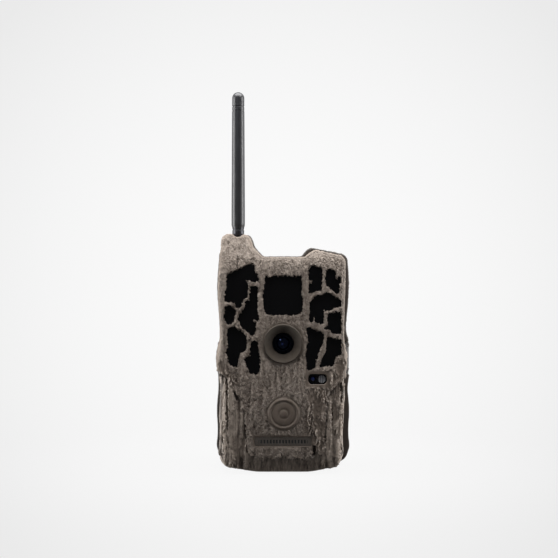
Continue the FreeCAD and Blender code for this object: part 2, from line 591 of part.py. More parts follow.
def inner_panel():
    """Panel that closes the front body from behind and carries the controls and the main board."""
    panel = prism_y(FRONT_OUTLINE, PANEL_Y0, PANEL_Y1, WALL + 0.2)
    posts = [rod_y(2.6, x, z, BOARD_Y1 + 0.02, PANEL_Y0 + 0.5) for x, z in BOARD_SCREWS]
    rim = rounded_box(-36.5, 36.5, PANEL_Y0 - 3, PANEL_Y0 + 0.5, 8.6, 69.0, 2)
    panel = panel.multiFuse(posts + [rim])
    low, high = PANEL_Y0 - 8, PANEL_Y1 + 2
    cuts = [box(-TRAY_HALF - 0.3, TRAY_HALF + 0.3, low, high, TRAY_Z0 - 0.3, TRAY_Z1 + 0.3)]
    cuts.append(rounded_box(-21.6, 21.6, low, high, 111.8, 144.6, 1.4))
    cuts += [rod_y(KEY_R + 0.15, x, z, low, high) for x, z in key_places().values()]
    cuts.append(rounded_box(SWITCH_X - 1.8, SWITCH_X + 1.8, low, high, SWITCH_Z - 2.6, SWITCH_Z + 10.6, 1))
    cuts.append(rounded_box(CARD_X - 13, CARD_X + 13, low, high, 71.4, 80.6, 1.5))
    cuts.append(rounded_box(27.2, 36.8, low, high, 101.5, 117.0, 1))
    cuts.append(rounded_box(USB_X - 4.3, USB_X + 4.3, low, high, 71.2, 76.8, 0.6))
    cuts += [rod_y(1.3, x, z, low, high) for x, z in PANEL_SCREWS]
    cuts += [rod_y(2.6, x, z, PANEL_Y1 - 1.0, high) for x, z in PANEL_SCREWS]
    cuts += [rod_y(SCREW_R + 0.02, x, z, BOARD_Y1 - 1, PANEL_Y0 + 0.8) for x, z in BOARD_SCREWS]
    cuts.append(box(42.1, 60, low, high, LATCH_Z - LATCH_RECESS - 2.7, LATCH_Z + LATCH_RECESS + 2.7))
    cuts.append(box(-60, HINGE_X + 2.5, low, high, HINGE_Z - 14, HINGE_Z + 14))
    return panel.cut(cuts)


def screw(x, z, head_y, towards):
    """The 2 x 6 mm pan-head screw used all through, along Y: towards is -1 if it points to the front."""
    head_r, head_h = 2.3, 0.95
    low, high = sorted((head_y, head_y - towards * head_h))
    head = rod_y(head_r, x, z, low, high)
    socket = box(x - 1.4, x + 1.4, high - 0.5 if towards < 0 else low - 0.1,
                 high + 0.1 if towards < 0 else low + 0.5, z - 0.25, z + 0.25)
    cross = socket.copy()
    cross.rotate(V(x, 0, z), V(0, 1, 0), 90)
    start, end = sorted((head_y, head_y + towards * SCREW_LENGTH))
    return head.cut([socket, cross]).fuse(rod_y(SCREW_R, x, z, start, end))


def case_screws():
    """Seven screws that hold the inner panel and four that hold the main board to it."""
    panel = [screw(x, z, PANEL_Y1 - 0.98, -1) for x, z in PANEL_SCREWS]
    return Part.makeCompound(panel + [screw(x, z, BOARD_Y0 - 0.02, 1) for x, z in BOARD_SCREWS])


def bracket_screws():
    return Part.makeCompound([screw(x, z, BRACKET_SEAT_Y, 1) for x, z in BRACKET_SCREWS])


def sma_jack():
    """Threaded antenna connector that passes up through the boss, with its hexagonal shoulder inside."""
    barrel = rod_z(3.1, ANTENNA_X, ANTENNA_Y, 165.0, 184.0)
    shoulder = hexagon_z(8.0, ANTENNA_X, ANTENNA_Y, SEAT_Z - 6.8, SEAT_Z - 4.22)
    tail = rod_z(1.6, ANTENNA_X, ANTENNA_Y, 162.0, 165.5)
    return fused([barrel, shoulder, tail]).cut(rod_z(1.5, ANTENNA_X, ANTENNA_Y, 179.0, 185.0))


def sma_nut():
    nut = hexagon_z(8.0, ANTENNA_X, ANTENNA_Y, SEAT_Z + 0.02, SEAT_Z + 2.0)
    return nut.cut(rod_z(3.12, ANTENNA_X, ANTENNA_Y, SEAT_Z - 1, SEAT_Z + 3))


def antenna_pigtail():
    """Thin coaxial lead from the connector's tail down to its plug on the main board."""
    x = ANTENNA_X
    lead = tube_along([V(x, -24, 162.0), V(x, -24, 157.4), V(x, -22.4, 153.0), V(x, -21.0, 148.6)], 0.7)
    plug = box(x - 1.6, x + 1.6, -22.2, BOARD_Y0 - 0.02, 145.4, 148.8)
    return lead.fuse(plug)


def dc_jack():
    body = rod_z(4.15, PLUG_X, PLUG_Y, 2.1, 5.5).fuse(rod_z(6.0, PLUG_X, PLUG_Y, 5.02, 9.8))
    bore = rod_z(2.8, PLUG_X, PLUG_Y, 1, 8.6)
    return body.cut(bore)


def power_port_plug():
    """Rubber bung in the power socket, flush in its recess, with a nail notch."""
    cap = rod_z(5.8, PLUG_X, PLUG_Y, 0.3, 1.9).cut(box(PLUG_X - 2, PLUG_X + 2, PLUG_Y - 6, PLUG_Y - 4.8, 0, 1.2))
    return cap.fuse(rod_z(2.7, PLUG_X, PLUG_Y, 1.8, 6.6))


# ---- Battery tray ----
def cell_places():
    return [(CELL_PITCH * (i - 1.5), y, (i + k) % 2) for k, y in enumerate(CELL_Y) for i in range(4)]


def battery_tray():
    """Magazine for eight cells: four bored channels in front and four open troughs behind."""
    tray = box(-TRAY_HALF, TRAY_HALF, TRAY_Y0, TRAY_Y1, TRAY_Z0, TRAY_Z1)
    cuts = [rod_z(CELL_R + 0.25, x, y, TRAY_Z0 + 1.6, TRAY_Z1 - 1.6) for x, y, _ in cell_places()]
    cuts.append(box(-30.4, 30.4, CELL_Y[1], TRAY_Y1 + 1, TRAY_Z0 + 1.6, TRAY_Z1 - 1.6))
    finger = rod_z(6.0, 0, TRAY_Y1 + 2.6, TRAY_Z1 - 2.2, TRAY_Z1 + 1)
    return tray.cut(cuts + [finger])


def cell(x, y, flipped):
    """An AA cell; flipped puts its nub at the bottom."""
    z0 = TRAY_Z0 + 1.6 + (1.5 if flipped else 2.2)
    body = rod_z(CELL_R, x, y, z0, z0 + CELL_LENGTH)
    nub = rod_z(2.7, x, y, z0 - 1.1, z0) if flipped else rod_z(2.7, x, y, z0 + CELL_LENGTH, z0 + CELL_LENGTH + 1.1)
    return body.fuse(nub)


def batteries():
    return Part.makeCompound([cell(*place) for place in cell_places()])


def battery_contacts():
    """Cones that stand for the coil springs on the flat ends, and plates under the nubs."""
    low, high = TRAY_Z0 + 1.62, TRAY_Z1 - 1.62
    found = []
    for x, y, flipped in cell_places():
        plate_z = low if flipped else high - 0.3
        found.append(box(x - 4, x + 4, y - 4, y + 4, plate_z, plate_z + 0.3))
        if flipped:
            found.append(Part.makeCone(4.5, 2.6, 1.9, V(x, y, high), V(0, 0, -1)))
        else:
            found.append(Part.makeCone(4.5, 2.6, 2.1, V(x, y, low), V(0, 0, 1)))
    return Part.makeCompound(found)


# ---- Antenna ----
def antenna_collar():
    """Knurled collar at the antenna's foot, which screws onto the connector."""
    z0 = SEAT_Z + 2.3
    collar = turned_z([(3.2, z0), (4.1, z0), (4.5, z0 + 0.5), (4.5, z0 + 3.4), (4.2, z0 + 3.7),
                       (4.2, z0 + 4.3), (4.5, z0 + 4.6), (4.5, z0 + 5.4), (3.2, z0 + 5.4)],
                      ANTENNA_X, ANTENNA_Y)
    return collar


def antenna_sleeve():
    """Long tapered rubber sleeve over the radiator."""
    z0, z1 = SEAT_Z + 7.7, ANTENNA_TOP - 14.6
    outer = turned_z([(0, z0), (4.5, z0), (5.1, z0 + 2.2), (5.1, z0 + 14), (4.72, z1), (0, z1)],
                     ANTENNA_X, ANTENNA_Y)
    return outer.cut([rod_z(3.2, ANTENNA_X, ANTENNA_Y, z0 - 1, 184.6),
                      rod_z(1.0, ANTENNA_X, ANTENNA_Y, 184, z1 - 6)])


def antenna_cap():
    """Tip cap with two fine ring grooves and a domed end."""
    z0, z1 = ANTENNA_TOP - 14.6, ANTENNA_TOP
    r = 4.65
    ring = turned_z([(0, z0), (r - 0.35, z0), (r - 0.35, z0 + 0.6), (r, z0 + 0.75), (r, z0 + 3.2),
                     (r - 0.35, z0 + 3.35), (r - 0.35, z0 + 3.9), (r, z0 + 4.05), (r, z1 - r), (0, z1 - r)],
                    ANTENNA_X, ANTENNA_Y)
    return fused([ring, Part.makeSphere(r, V(ANTENNA_X, ANTENNA_Y, z1 - r))])


def antenna_radiator():
    return rod_z(0.98, ANTENNA_X, ANTENNA_Y, 185.0, ANTENNA_TOP - 21)


# ---- Rear shell ----
def tree_bracket():
    """Block screwed to the back, with two strap channels, a lock cable tube and two toothed ridges."""
    block = rounded_box(-BRACKET_HALF, BRACKET_HALF, SHELL_BACK_Y, BRACKET_BACK, BRACKET_Z0, BRACKET_Z1, 6)
    block = filleted(block, 1.5, lambda e: e.BoundBox.YMin > BRACKET_BACK - 0.01)
    tube = rod(7.2, (-BRACKET_HALF, CABLE_Y, CABLE_Z), (1, 0, 0), 2 * BRACKET_HALF)
    tube = tube.common(box(-BRACKET_HALF, BRACKET_HALF, SHELL_BACK_Y, 40, 0, 200))
    shapes = [block, tube]
    count, z_from, z_to = 14, BRACKET_Z0 + 5, BRACKET_Z1 - 5
    pitch = (z_to - z_from) / count
    for side in (-1, 1):
        saw = [(BRACKET_BACK - 1, z_from)]
        for k in range(count):
            saw += [(RIDGE_BACK, z_from + (k + 0.5) * pitch), (RIDGE_BACK - 2.4, z_from + (k + 1) * pitch)]
        saw[-1] = (BRACKET_BACK - 1, z_to)
        x0 = side * (BRACKET_HALF - 5) - 2.25
        shapes.append(prism_x(saw, x0, x0 + 4.5))
    straps = [box(-40, 40, STRAP_Y0, STRAP_Y1, z - STRAP_HEIGHT / 2, z + STRAP_HEIGHT / 2) for z in STRAP_Z]
    cable = rod(CABLE_R, (-40, CABLE_Y, CABLE_Z), (1, 0, 0), 80)
    pilots = [rod_y(SCREW_R + 0.02, x, z, 10, BRACKET_SEAT_Y + SCREW_LENGTH + 0.6) for x, z in BRACKET_SCREWS]
    return fused(shapes).cut(straps + [cable] + pilots).removeSplitter()


def gasket_ring(half_in, half_out, y0, y1):
    """A rectangular ring with round corners, of the given inner and outer half widths."""
    def loop(half, grow):
        z0, z1, r = 5.0 - grow, 155.6 + grow, 8.0 + grow
        return [(-half, z0, r), (half, z0, r), (half, z1, r), (-half, z1, r)]
    grow = half_out - half_in
    return prism_y(loop(half_out, grow), y0, y1).cut(prism_y(loop(half_in, 0), y0 - 1, y1 + 1))


def latch_ears():
    """Two ears on the rear shell that hold the lever's pin."""
    x, y = LATCH_PIVOT
    ears = []
    for z0 in (LATCH_Z - LATCH_HALF - 0.3 - LATCH_EAR, LATCH_Z + LATCH_HALF + 0.3):
        ears.append(box(43.0, x, y - 3, y + 3, z0, z0 + LATCH_EAR).fuse(rod_z(3.0, x, y, z0, z0 + LATCH_EAR)))
    return ears


def rear_housing():
    solid = prism_y(REAR_OUTLINE, SPLIT_Y, SHELL_BACK_Y)
    solid = filleted(solid, BACK_FILLET, lambda e: e.BoundBox.YMin > SHELL_BACK_Y - 0.01)
    cavity = prism_y([(-40.2, 6.6, 7), (40.2, 6.6, 7), (40.2, 154.0, 7), (-40.2, 154.0, 7)],
                     SPLIT_Y - 1, SHELL_BACK_Y - 2.6)
    boss_hollow = rounded_box(-43.0, -29.0, SPLIT_Y + 4, SHELL_BACK_Y - 3, 152.0, 174.5, 3)
    groove = gasket_ring(41.6, 43.8, SPLIT_Y - 0.01, SPLIT_Y + 2.2)
    hinge_pocket = box(-56, HINGE_X + 3.2, SPLIT_Y - 1, HINGE_Y + 3.6, HINGE_Z - 15.5, HINGE_Z + 15.5)
    swing_rebate = box(-56, HINGE_X + 0.4, SPLIT_Y - 1, HINGE_Y + 1.5, -1, 190)
    latch_recess = box(44.4, 56, SPLIT_Y - 1, BAIL_PIVOT[1] + 1.6, LATCH_Z - LATCH_RECESS, LATCH_Z + LATCH_RECESS)
    lever_slot = box(44.4, 56, SPLIT_Y - 1, SHELL_BACK_Y + 2, LATCH_Z - LEVER_SLOT, LATCH_Z + LEVER_SLOT)
    solid = solid.cut([cavity, boss_hollow, groove, hinge_pocket, swing_rebate, latch_recess, lever_slot])
    sinks = [rod_y(2.5, x, z, 11, BRACKET_SEAT_Y) for x, z in BRACKET_SCREWS]
    solid = solid.cut(sinks + [rod_y(1.3, x, z, 13, 16) for x, z in BRACKET_SCREWS])
    web = ((HINGE_X - 1.3, HINGE_X + 3.6), (HINGE_Y, HINGE_Y + 4.4))
    knuckles = [hinge_knuckle(i, *web) for i in (0, 2, 4)]
    tripod_boss = rod_z(7.0, 0, 0, 0.0, TRIPOD_LENGTH + 1.6)
    solid = solid.multiFuse(knuckles + latch_ears() + [tripod_boss])
    holes = [rod_z(HINGE_PIN_R + 0.02, HINGE_X, HINGE_Y, HINGE_Z - 12.55, HINGE_Z + 12.55),
             rod_z(LATCH_PIN_R + 0.02, *LATCH_PIVOT, LATCH_Z - LATCH_HALF - 2.3, LATCH_Z + LATCH_HALF + 2.3),
             rod_z(4.52, 0, 0, -1, TRIPOD_LENGTH + 0.02)]
    return solid.cut(holes).removeSplitter()


def door_gasket():
    return gasket_ring(41.7, 43.55, SPLIT_Y, SPLIT_Y + 2.15)


def tripod_insert():
    """Brass insert for a 1/4-20 tripod screw, its bore at tapping size."""
    body = rod_z(4.5, 0, 0, 0, TRIPOD_LENGTH)
    grooves = [turned_z([(4.1, z), (5, z), (5, z + 0.8), (4.1, z + 0.8)], 0, 0) for z in (2.6, 5.2)]
    return body.cut([rod_z(TRIPOD_R, 0, 0, -1, TRIPOD_LENGTH + 1)] + grooves)


def hinge_pin():
    return rod_z(HINGE_PIN_R, HINGE_X, HINGE_Y, HINGE_Z - 12.5, HINGE_Z + 12.5)


# ---- Latch ----
def latch_pin():
    return rod_z(LATCH_PIN_R, *LATCH_PIVOT, LATCH_Z - LATCH_HALF - 2.1, LATCH_Z + LATCH_HALF + 2.1)


def latch_lever():
    """Lever that draws the bail back over centre; its handle lies along the rear shell's side."""
    x, y = LATCH_PIVOT
    bx, by = BAIL_PIVOT
    low, high = LATCH_Z - LATCH_HALF, LATCH_Z + LATCH_HALF
    plate = prism_z([(x, y - 2.2, 0.4), (x + 2.4, y - 1.6, 1.0), (x + 3.0, y + 9, 12), (x + 2.4, y + 18.6, 0.7),
                     (x + 0.9, y + 18.6, 0.5), (x + 0.5, y + 7)], low, high)
    hub = rod_z(2.6, x, y, low, high)
    horns = [box(bx - 1.7, x + 1.6, by - 2.0, by + 2.0, z0, z0 + 4.0) for z0 in (low, high - 4.0)]
    solid = fused([plate, hub] + horns)
    grips = [rod_z(0.6, x + 2.9, y + d, low - 1, high + 1) for d in (11.5, 13.3, 15.1, 16.9)]
    return solid.cut(grips + [rod_z(LATCH_PIN_R + 0.08, x, y, low - 1, high + 1),
                              rod_z(BAIL_R + 0.06, bx, by, low - 1, high + 1)])


def latch_bail():
    """Steel wire loop: a crossbar in front of the keeper, two arms and two ends hooked into the lever."""
    x = BAIL_PIVOT[0]
    y0, y1 = BAIL_PIVOT[1], BAIL_CATCH[1]
    bend, half, inner = 2.6, BAIL_HALF, 5.2
    q = bend * (1 - math.sqrt(0.5))
    edges, here = [], None
    corners = [(y0, LATCH_Z + half), (y1, LATCH_Z + half), (y1, LATCH_Z - half), (y0, LATCH_Z - half)]
    path = [V(x, y0, LATCH_Z + inner)] + [V(x, a, b) for a, b in corners] + [V(x, y0, LATCH_Z - inner)]
    here = path[0]
    for before, p, after in zip(path, path[1:], path[2:]):
        back, ahead = (before - p).normalize(), (after - p).normalize()
        start, end, middle = p + back * bend, p + ahead * bend, p + (back + ahead) * q
        edges += [Part.makeLine(here, start), Part.Arc(start, middle, end).toShape()]
        here = end
    edges.append(Part.makeLine(here, path[-1]))
    ring = Part.Wire(Part.makeCircle(BAIL_R, path[0], V(0, 0, 1)))
    return Part.Wire(edges).makePipeShell([ring], True, False)


# ---- All pieces ----
def pieces():
    made = {
        "front_housing": front_housing(), "lens_bezel": lens_bezel(), "lens_window": lens_window(),
        "lens_barrel": lens_barrel(), "lens_glass": lens_glass(), "lens_holder": lens_holder(),
        "ir_cut_slider": ir_cut_slider(), "ir_cut_panes": ir_cut_panes(), "image_sensor": image_sensor(),
        "led_board_left": led_board(-1), "led_board_right": led_board(1),
        "ir_leds": ir_leds(),
        "pir_sensor": pir_sensor(), "pir_shroud": pir_shroud(),
        "sensor_window": sensor_window(), "status_led": status_led(), "light_sensor": light_sensor(),
        "sensor_board": sensor_board(), "nameplate": nameplate(), "main_board": main_board(),
        "cellular_module": cellular_module(), "card_sockets": card_sockets(), "sd_card": sd_card(),
        "usb_port": usb_port(), "tact_switches": tact_switches(), "mode_switch_base": mode_switch_base(),
        "mode_switch_knob": mode_switch_knob(), "lcd_module": lcd_module(), "lcd_window": lcd_window(),
        "inner_panel": inner_panel(), "case_screws": case_screws(), "bracket_screws": bracket_screws(),
        "sma_jack": sma_jack(), "sma_nut": sma_nut(), "antenna_pigtail": antenna_pigtail(),
        "dc_jack": dc_jack(), "power_port_plug": power_port_plug(), "battery_tray": battery_tray(),
        "batteries": batteries(), "battery_contacts": battery_contacts(), "tree_bracket": tree_bracket(),
        "antenna_collar": antenna_collar(), "antenna_sleeve": antenna_sleeve(), "antenna_cap": antenna_cap(),
        "antenna_radiator": antenna_radiator(), "rear_housing": rear_housing(), "door_gasket": door_gasket(),
        "tripod_insert": tripod_insert(), "hinge_pin": hinge_pin(), "latch_pin": latch_pin(),
        "latch_lever": latch_lever(), "latch_bail": latch_bail(),
    }
    made.update({name: window_plate(name) for name in WINDOW_SEATS})
    made.update({name: key(x, z) for name, (x, z) in key_places().items()})
    return made


def main():
    os.makedirs("parts", exist_ok=True)
    for name, shape in sorted(pieces().items()):
        solids = shape.Solids
        volume = sum(s.Volume for s in solids)
        if not shape.isValid() or not solids or volume <= 0:
            print("PROBLEM in %s: valid %s, %d solids" % (name, shape.isValid(), len(solids)))
        print("%-18s %3d solids %10.1f mm3" % (name, len(solids), volume))
        shape.exportStep("parts/%s.step" % name)


main()
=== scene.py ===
"""Looks for the trail camera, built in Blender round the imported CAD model.

The two shells are remeshed from their CAD solids and carved with bark relief. The other nodes keep their
CAD shape under procedural materials, with the cells, springs and key symbols modelled here. Lengths in
the numbers below are millimetres unless a name says otherwise; MM turns them into scene metres.
"""
import json
import math

import bmesh
import bpy
import numpy as np
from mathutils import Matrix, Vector
from mathutils.bvhtree import BVHTree

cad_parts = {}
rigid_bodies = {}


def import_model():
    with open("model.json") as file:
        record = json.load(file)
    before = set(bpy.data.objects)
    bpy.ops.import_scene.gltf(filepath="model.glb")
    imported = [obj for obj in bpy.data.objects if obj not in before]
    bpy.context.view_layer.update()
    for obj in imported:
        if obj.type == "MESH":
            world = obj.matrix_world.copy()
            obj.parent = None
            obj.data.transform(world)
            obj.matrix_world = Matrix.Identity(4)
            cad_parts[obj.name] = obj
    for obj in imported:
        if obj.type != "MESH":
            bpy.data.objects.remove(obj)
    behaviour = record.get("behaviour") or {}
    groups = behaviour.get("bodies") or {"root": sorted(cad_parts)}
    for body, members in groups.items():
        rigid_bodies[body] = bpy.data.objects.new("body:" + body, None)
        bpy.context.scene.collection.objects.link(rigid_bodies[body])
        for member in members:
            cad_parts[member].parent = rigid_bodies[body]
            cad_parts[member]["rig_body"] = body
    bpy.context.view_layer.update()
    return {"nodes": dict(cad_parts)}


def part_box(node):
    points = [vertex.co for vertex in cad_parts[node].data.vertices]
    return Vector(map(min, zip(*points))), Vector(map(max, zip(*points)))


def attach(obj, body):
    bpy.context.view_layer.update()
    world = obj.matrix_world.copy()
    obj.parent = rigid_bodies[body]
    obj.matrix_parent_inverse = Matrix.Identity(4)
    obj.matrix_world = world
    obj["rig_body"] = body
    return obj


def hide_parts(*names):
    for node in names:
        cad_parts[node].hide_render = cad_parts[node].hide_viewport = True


MM = 0.001
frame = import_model()
NODES = frame["nodes"]

# Camera and view, from the front plane of the case.
FRONT_Y = -49.0
VIEW_CENTRE = (-3.0, 144.4)
VIEW_WIDTH = 412.9
VIEW_DISTANCE = 900.0

LENS_Z = 96.4
THROAT = 8.05                        # radius of the lens funnel's throat
BADGE = (0.5, 44.5, 12.6)            # centre x, z and clear radius
NAMEPLATE = (-22.0, 22.0, 20.0, 28.2)
PILL = (25.5, 70.2, 8.4, 5.2)        # centre and clear half sizes
LENS_CLEAR = 15.0                    # radius kept smooth round the lens funnel
LATCH_Z, LATCH_CLEAR = 83.5, 13.4    # middle of the latch and half the height kept smooth beside it
HINGE_Z = 83.0
ANTENNA_SEAT = (-34, -24, 7.2)       # centre x, y and clear radius, on the case's top
POWER_PORT = (12, -30, 7.0)          # centre x, y and clear radius, under the case
TRIPOD_CLEAR = 9
BRACKET = (26, 34, 136)              # half width, lowest and highest z
CELL_HEIGHT = 50.3                   # of an AA cell with its raised terminal
LATHE_STEPS = 40

# Edge of the rough bark plate on the front: inside it the bark stands proud of the smooth wood below.
ROUGH_EDGE = [(-70, 79), (-47.4, 75.5), (-41.7, 71.1), (-37, 63.3), (-34.8, 58.5), (-29.6, 53.3),
              (-28.4, 45.9), (-27.8, 37.1), (-27.2, 24), (-25.4, 15.5), (-22, 13.3), (-17, 11.2), (-12, 12.2),
              (-6, 10.6), (0, 12.5), (5, 10.2), (10, 11.4), (17, 10.3), (21.5, 14), (22.2, 21), (24.2, 21),
              (24.8, 14.8), (28, 13.6), (30.6, 17), (31.1, 30), (31.6, 45), (32.6, 55), (34, 60.7),
              (36.6, 63.3), (43.7, 70.4), (70, 74), (70, 220), (-70, 220)]
# Smaller reliefs on the smooth wood: outline, height above the wood and softness of its edge.
TORN_STRIPS = [
    ([(-40.6, 72), (-36.2, 64), (-36.0, 55), (-37.4, 46.5), (-40.2, 43.6), (-41.0, 52)], 0.45, 0.3),
    ([(-49.5, 76), (-42.6, 71), (-42.2, 55), (-42.4, 34), (-45.0, 29), (-49.5, 32)], 0.55, 0.5),
    ([(-47.2, 31.5), (-42.6, 27.6), (-41.0, 20.5), (-42.4, 14), (-45.5, 14), (-48, 22)], 0.5, 0.5),
    ([(-41.0, 19), (-36.4, 13.4), (-35.6, 7.4), (-40.4, 7.0), (-43.8, 12.6)], 0.35, 0.5),
    ([(37.2, 66.6), (43.2, 71), (42.6, 56), (41.6, 49), (38.8, 50)], 0.35, 0.4),
    ([(38.0, 36.2), (42.6, 41.6), (44.2, 33.8), (42.4, 26.4), (39.4, 30.2)], 0.5, 0.3),
    ([(33.6, 58), (35.8, 57), (36.2, 44), (35.2, 38.6), (33.4, 40.6)], 0.3, 0.4),
    ([(44.6, 72), (50, 72), (50, 12), (46.6, 8.4), (44.2, 14), (45.0, 40)], 0.35, 0.5),
]
# Where the bark lifts into tall wavy crests.
WAVY_AREAS = [
    [(17, 62), (24, 66), (34, 62), (33, 52), (32, 17), (23.5, 15), (15.5, 30)],
    [(38, 86), (50, 92), (50, 72), (41, 68), (34, 61), (31, 66)],
    [(-50, 90), (-44, 84), (-36, 70), (-33, 60), (-39, 64), (-50, 74)],
]
# Dark tears and splits: start, end, half width and depth.
TEARS = [
    ((-41.6, 73), (-41.4, 33), 0.55, 0.9), ((-35.4, 60), (-34.4, 55), 0.6, 0.9),
    ((-28.0, 36), (-26.6, 16), 0.4, 0.8), ((43.5, 67), (43.2, 53), 0.8, 1.3),
    ((35.8, 48), (36.6, 40), 0.5, 0.8), ((22.9, 21), (23.2, 14.4), 0.6, 1.1),
    ((31.9, 40), (31.2, 24), 0.35, 0.6), ((-16.2, 14), (-15.6, 3), 0.3, 0.45),
    ((17.6, 10), (18.6, 3), 0.3, 0.45), ((38.2, 28), (39.6, 34), 0.5, 0.8),
    ((-39.8, 47), (-37.2, 44), 0.4, 0.6), ((-33.5, 161), (-34.2, 150), 0.35, 0.5),
    ((44.6, 48), (44.2, 18), 0.4, 0.7), ((-45.4, 28), (-44.2, 22), 0.5, 0.7),
]


# ---- Noise, in numpy ----
def hashed(ix, iy, iz, seed):
    """A scrambled 32-bit number for each whole-numbered place."""
    n = (ix.astype(np.uint32) * np.uint32(73856093)) ^ (iy.astype(np.uint32) * np.uint32(19349663))
    n ^= (iz.astype(np.uint32) * np.uint32(83492791)) ^ np.uint32(seed * 7919 + 13)
    n = (n ^ (n >> np.uint32(15))) * np.uint32(2246822519)
    n = (n ^ (n >> np.uint32(13))) * np.uint32(3266489917)
    return n ^ (n >> np.uint32(16))


def noise(points, scale, seed=0):
    """Gradient noise of about -1 to 1 at points (n, 3), with features scale (x, y, z) in size."""
    p = points / np.asarray(scale, float)
    cell = np.floor(p).astype(np.int64)
    f = p - cell
    u = f * f * f * (f * (f * 6 - 15) + 10)
    total = np.zeros(len(p))
    for corner in range(8):
        o = np.array([corner & 1, corner >> 1 & 1, corner >> 2 & 1])
        h = hashed(cell[:, 0] + o[0], cell[:, 1] + o[1], cell[:, 2] + o[2], seed)
        g = [((h >> np.uint32(s)) & np.uint32(1023)).astype(float) / 511.5 - 1 for s in (0, 10, 20)]
        dot = sum(g[k] * (f[:, k] - o[k]) for k in range(3))
        weight = np.prod(np.where(o == 1, u, 1 - u), axis=1)
        total += weight * dot
    return total * 1.5


def smooth(low, high, value):
    """Eased step from 0 at low to 1 at high, which may be the lower of the two."""
    t = np.clip((value - low) / (high - low), 0, 1)
    return t * t * (3 - 2 * t)


def inside_by(outline, x, z):
    """Signed distance to a closed outline in X and Z: positive inside."""
    pts = np.asarray(outline, float)
    nearest = np.full(len(x), 1e9)
    crossings = np.zeros(len(x), bool)
    for (ax, az), (bx, bz) in zip(pts, np.roll(pts, -1, axis=0)):
        dx, dz = bx - ax, bz - az
        t = np.clip(((x - ax) * dx + (z - az) * dz) / (dx * dx + dz * dz), 0, 1)
        nearest = np.minimum(nearest, np.hypot(x - ax - t * dx, z - az - t * dz))
        if dz:
            straddles = (az > z) != (bz > z)
            crossings ^= straddles & (x < ax + (z - az) / dz * dx)
    return np.where(crossings, nearest, -nearest)


def near_segment(start, end, x, z):
    """Distance to a straight stretch in X and Z."""
    dx, dz = end[0] - start[0], end[1] - start[1]
    t = np.clip(((x - start[0]) * dx + (z - start[1]) * dz) / (dx * dx + dz * dz), 0, 1)
    return np.hypot(x - start[0] - t * dx, z - start[1] - t * dz)


# ---- Bark relief ----
def crests(points, scale, seed, width):
    """Thin winding ridges: 1 on a crest line, falling to 0 within width of it."""
    return 1 - smooth(0, width, np.abs(noise(points, scale, seed)))


def splits(warped, scale, seed, half, patches):
    """Thin upright cracks: 1 in a crack's middle, only where patches is 1."""
    return np.exp(-(noise(warped, scale, seed) / half) ** 2) * patches


def rough_bark(p, warped):
    """Height of the rough bark over the mould surface: upright ribs, worm-like crests, pits and splits."""
    ribs = noise(warped, (2.6, 2.6, 34), 1) * 0.42 + noise(warped, (7, 7, 40), 2) * 0.25
    worms = crests(p + 0.5 * (warped - p), (1.5, 1.5, 3.0), 3, 0.28)
    pits = smooth(0.15, 0.5, noise(p, (1.3, 1.3, 2.0), 4))
    patches = smooth(-0.1, 0.25, noise(p, (11, 11, 15), 6))
    return ribs + 0.26 * worms - 0.2 * pits - 0.55 * splits(warped, (5.5, 5.5, 38), 5, 0.05, patches)


def wavy_ridges(p):
    """Tall wavy upright crests, unbroken over their length, as where bark lifts away in strips."""
    across = p[:, 0] + noise(p, (6, 6, 8), 41) * 2.6 + noise(p, (3, 3, 4), 42) * 0.9
    line = np.abs(2 * ((across / 2.3) % 1) - 1)
    tall = smooth(-0.35, 0.3, noise(p, (3, 3, 9), 43))
    fine = crests(p, (1.1, 1.1, 5), 44, 0.35)
    return 1.25 * tall * line ** 1.5 + 0.15 * fine - 0.45


def layered(value, steps):
    """Rounds value to steps with short ramps between them, as torn layers lie over each other."""
    scaled = value * steps
    whole = np.floor(scaled)
    return (whole + smooth(0.36, 0.64, scaled - whole)) / steps


def smooth_wood(p, warped):
    """Height of the bare wood: upright grain over long splintered layers, with splits."""
    grain = noise(warped, (0.9, 0.9, 36), 11) * 0.24 + noise(warped, (2.2, 2.2, 60), 12) * 0.3
    layers = layered(noise(warped + p * np.array([1, 0, 0]), (7.5, 7.5, 44), 15), 3) * 1.1
    patches = smooth(0, 0.2, noise(p, (9, 9, 24), 14))
    return grain + layers - 0.55 * splits(warped, (4.2, 4.2, 60), 13, 0.035, patches)


def front_relief(p):
    """Height over the front shell's mould surface, and the shares of rough bark and of wavy crests."""
    x, y, z = p.T
    warped = p.copy()
    warped[:, 0] += noise(p, (9, 9, 17), 21) * 1.5 + noise(p, (3, 3, 6), 22) * 0.5
    warped[:, 1] += noise(p, (9, 9, 17), 23) * 1.5
    facing = smooth(-38, -44, y)
    ragged = noise(p, (1.4, 1.4, 2.8), 24) * 0.9 + noise(p, (5, 5, 8), 25) * 0.9
    rough = smooth(-0.3, 0.25, inside_by(ROUGH_EDGE, x, z) + ragged)
    in_wavy = np.maximum.reduce([inside_by(area, x, z) for area in WAVY_AREAS])
    wavy = smooth(0, 3, in_wavy + 2 * ragged) * facing
    bark = rough_bark(p, warped) * (1 - 0.7 * wavy) + wavy_ridges(p) * wavy
    turned = 1.9 * smooth(40.5, 49.5, np.abs(x)) ** 1.5 * facing
    calm = 1 - 0.75 * smooth(30, 22, np.abs(x)) * smooth(14, 9, z)
    calm = calm * (0.15 + 0.85 * smooth(-0.5, 5.5, z))
    wood = smooth_wood(p, warped) * calm - 1.0 - turned
    height = (0.15 + bark) * rough + wood * (1 - rough)
    for outline, rise, soft in TORN_STRIPS:
        lift = smooth(-soft, soft, inside_by(outline, x, z) + 0.6 * ragged)
        height += rise * lift * facing * (1 - rough)
    for start, end, half, depth in TEARS:
        away = near_segment(start, end, x + noise(p, (4, 4, 7), 26) * 0.9, z)
        height -= depth * smooth(half * 1.7, half * 0.4, away) * facing
    return height, rough, wavy * rough


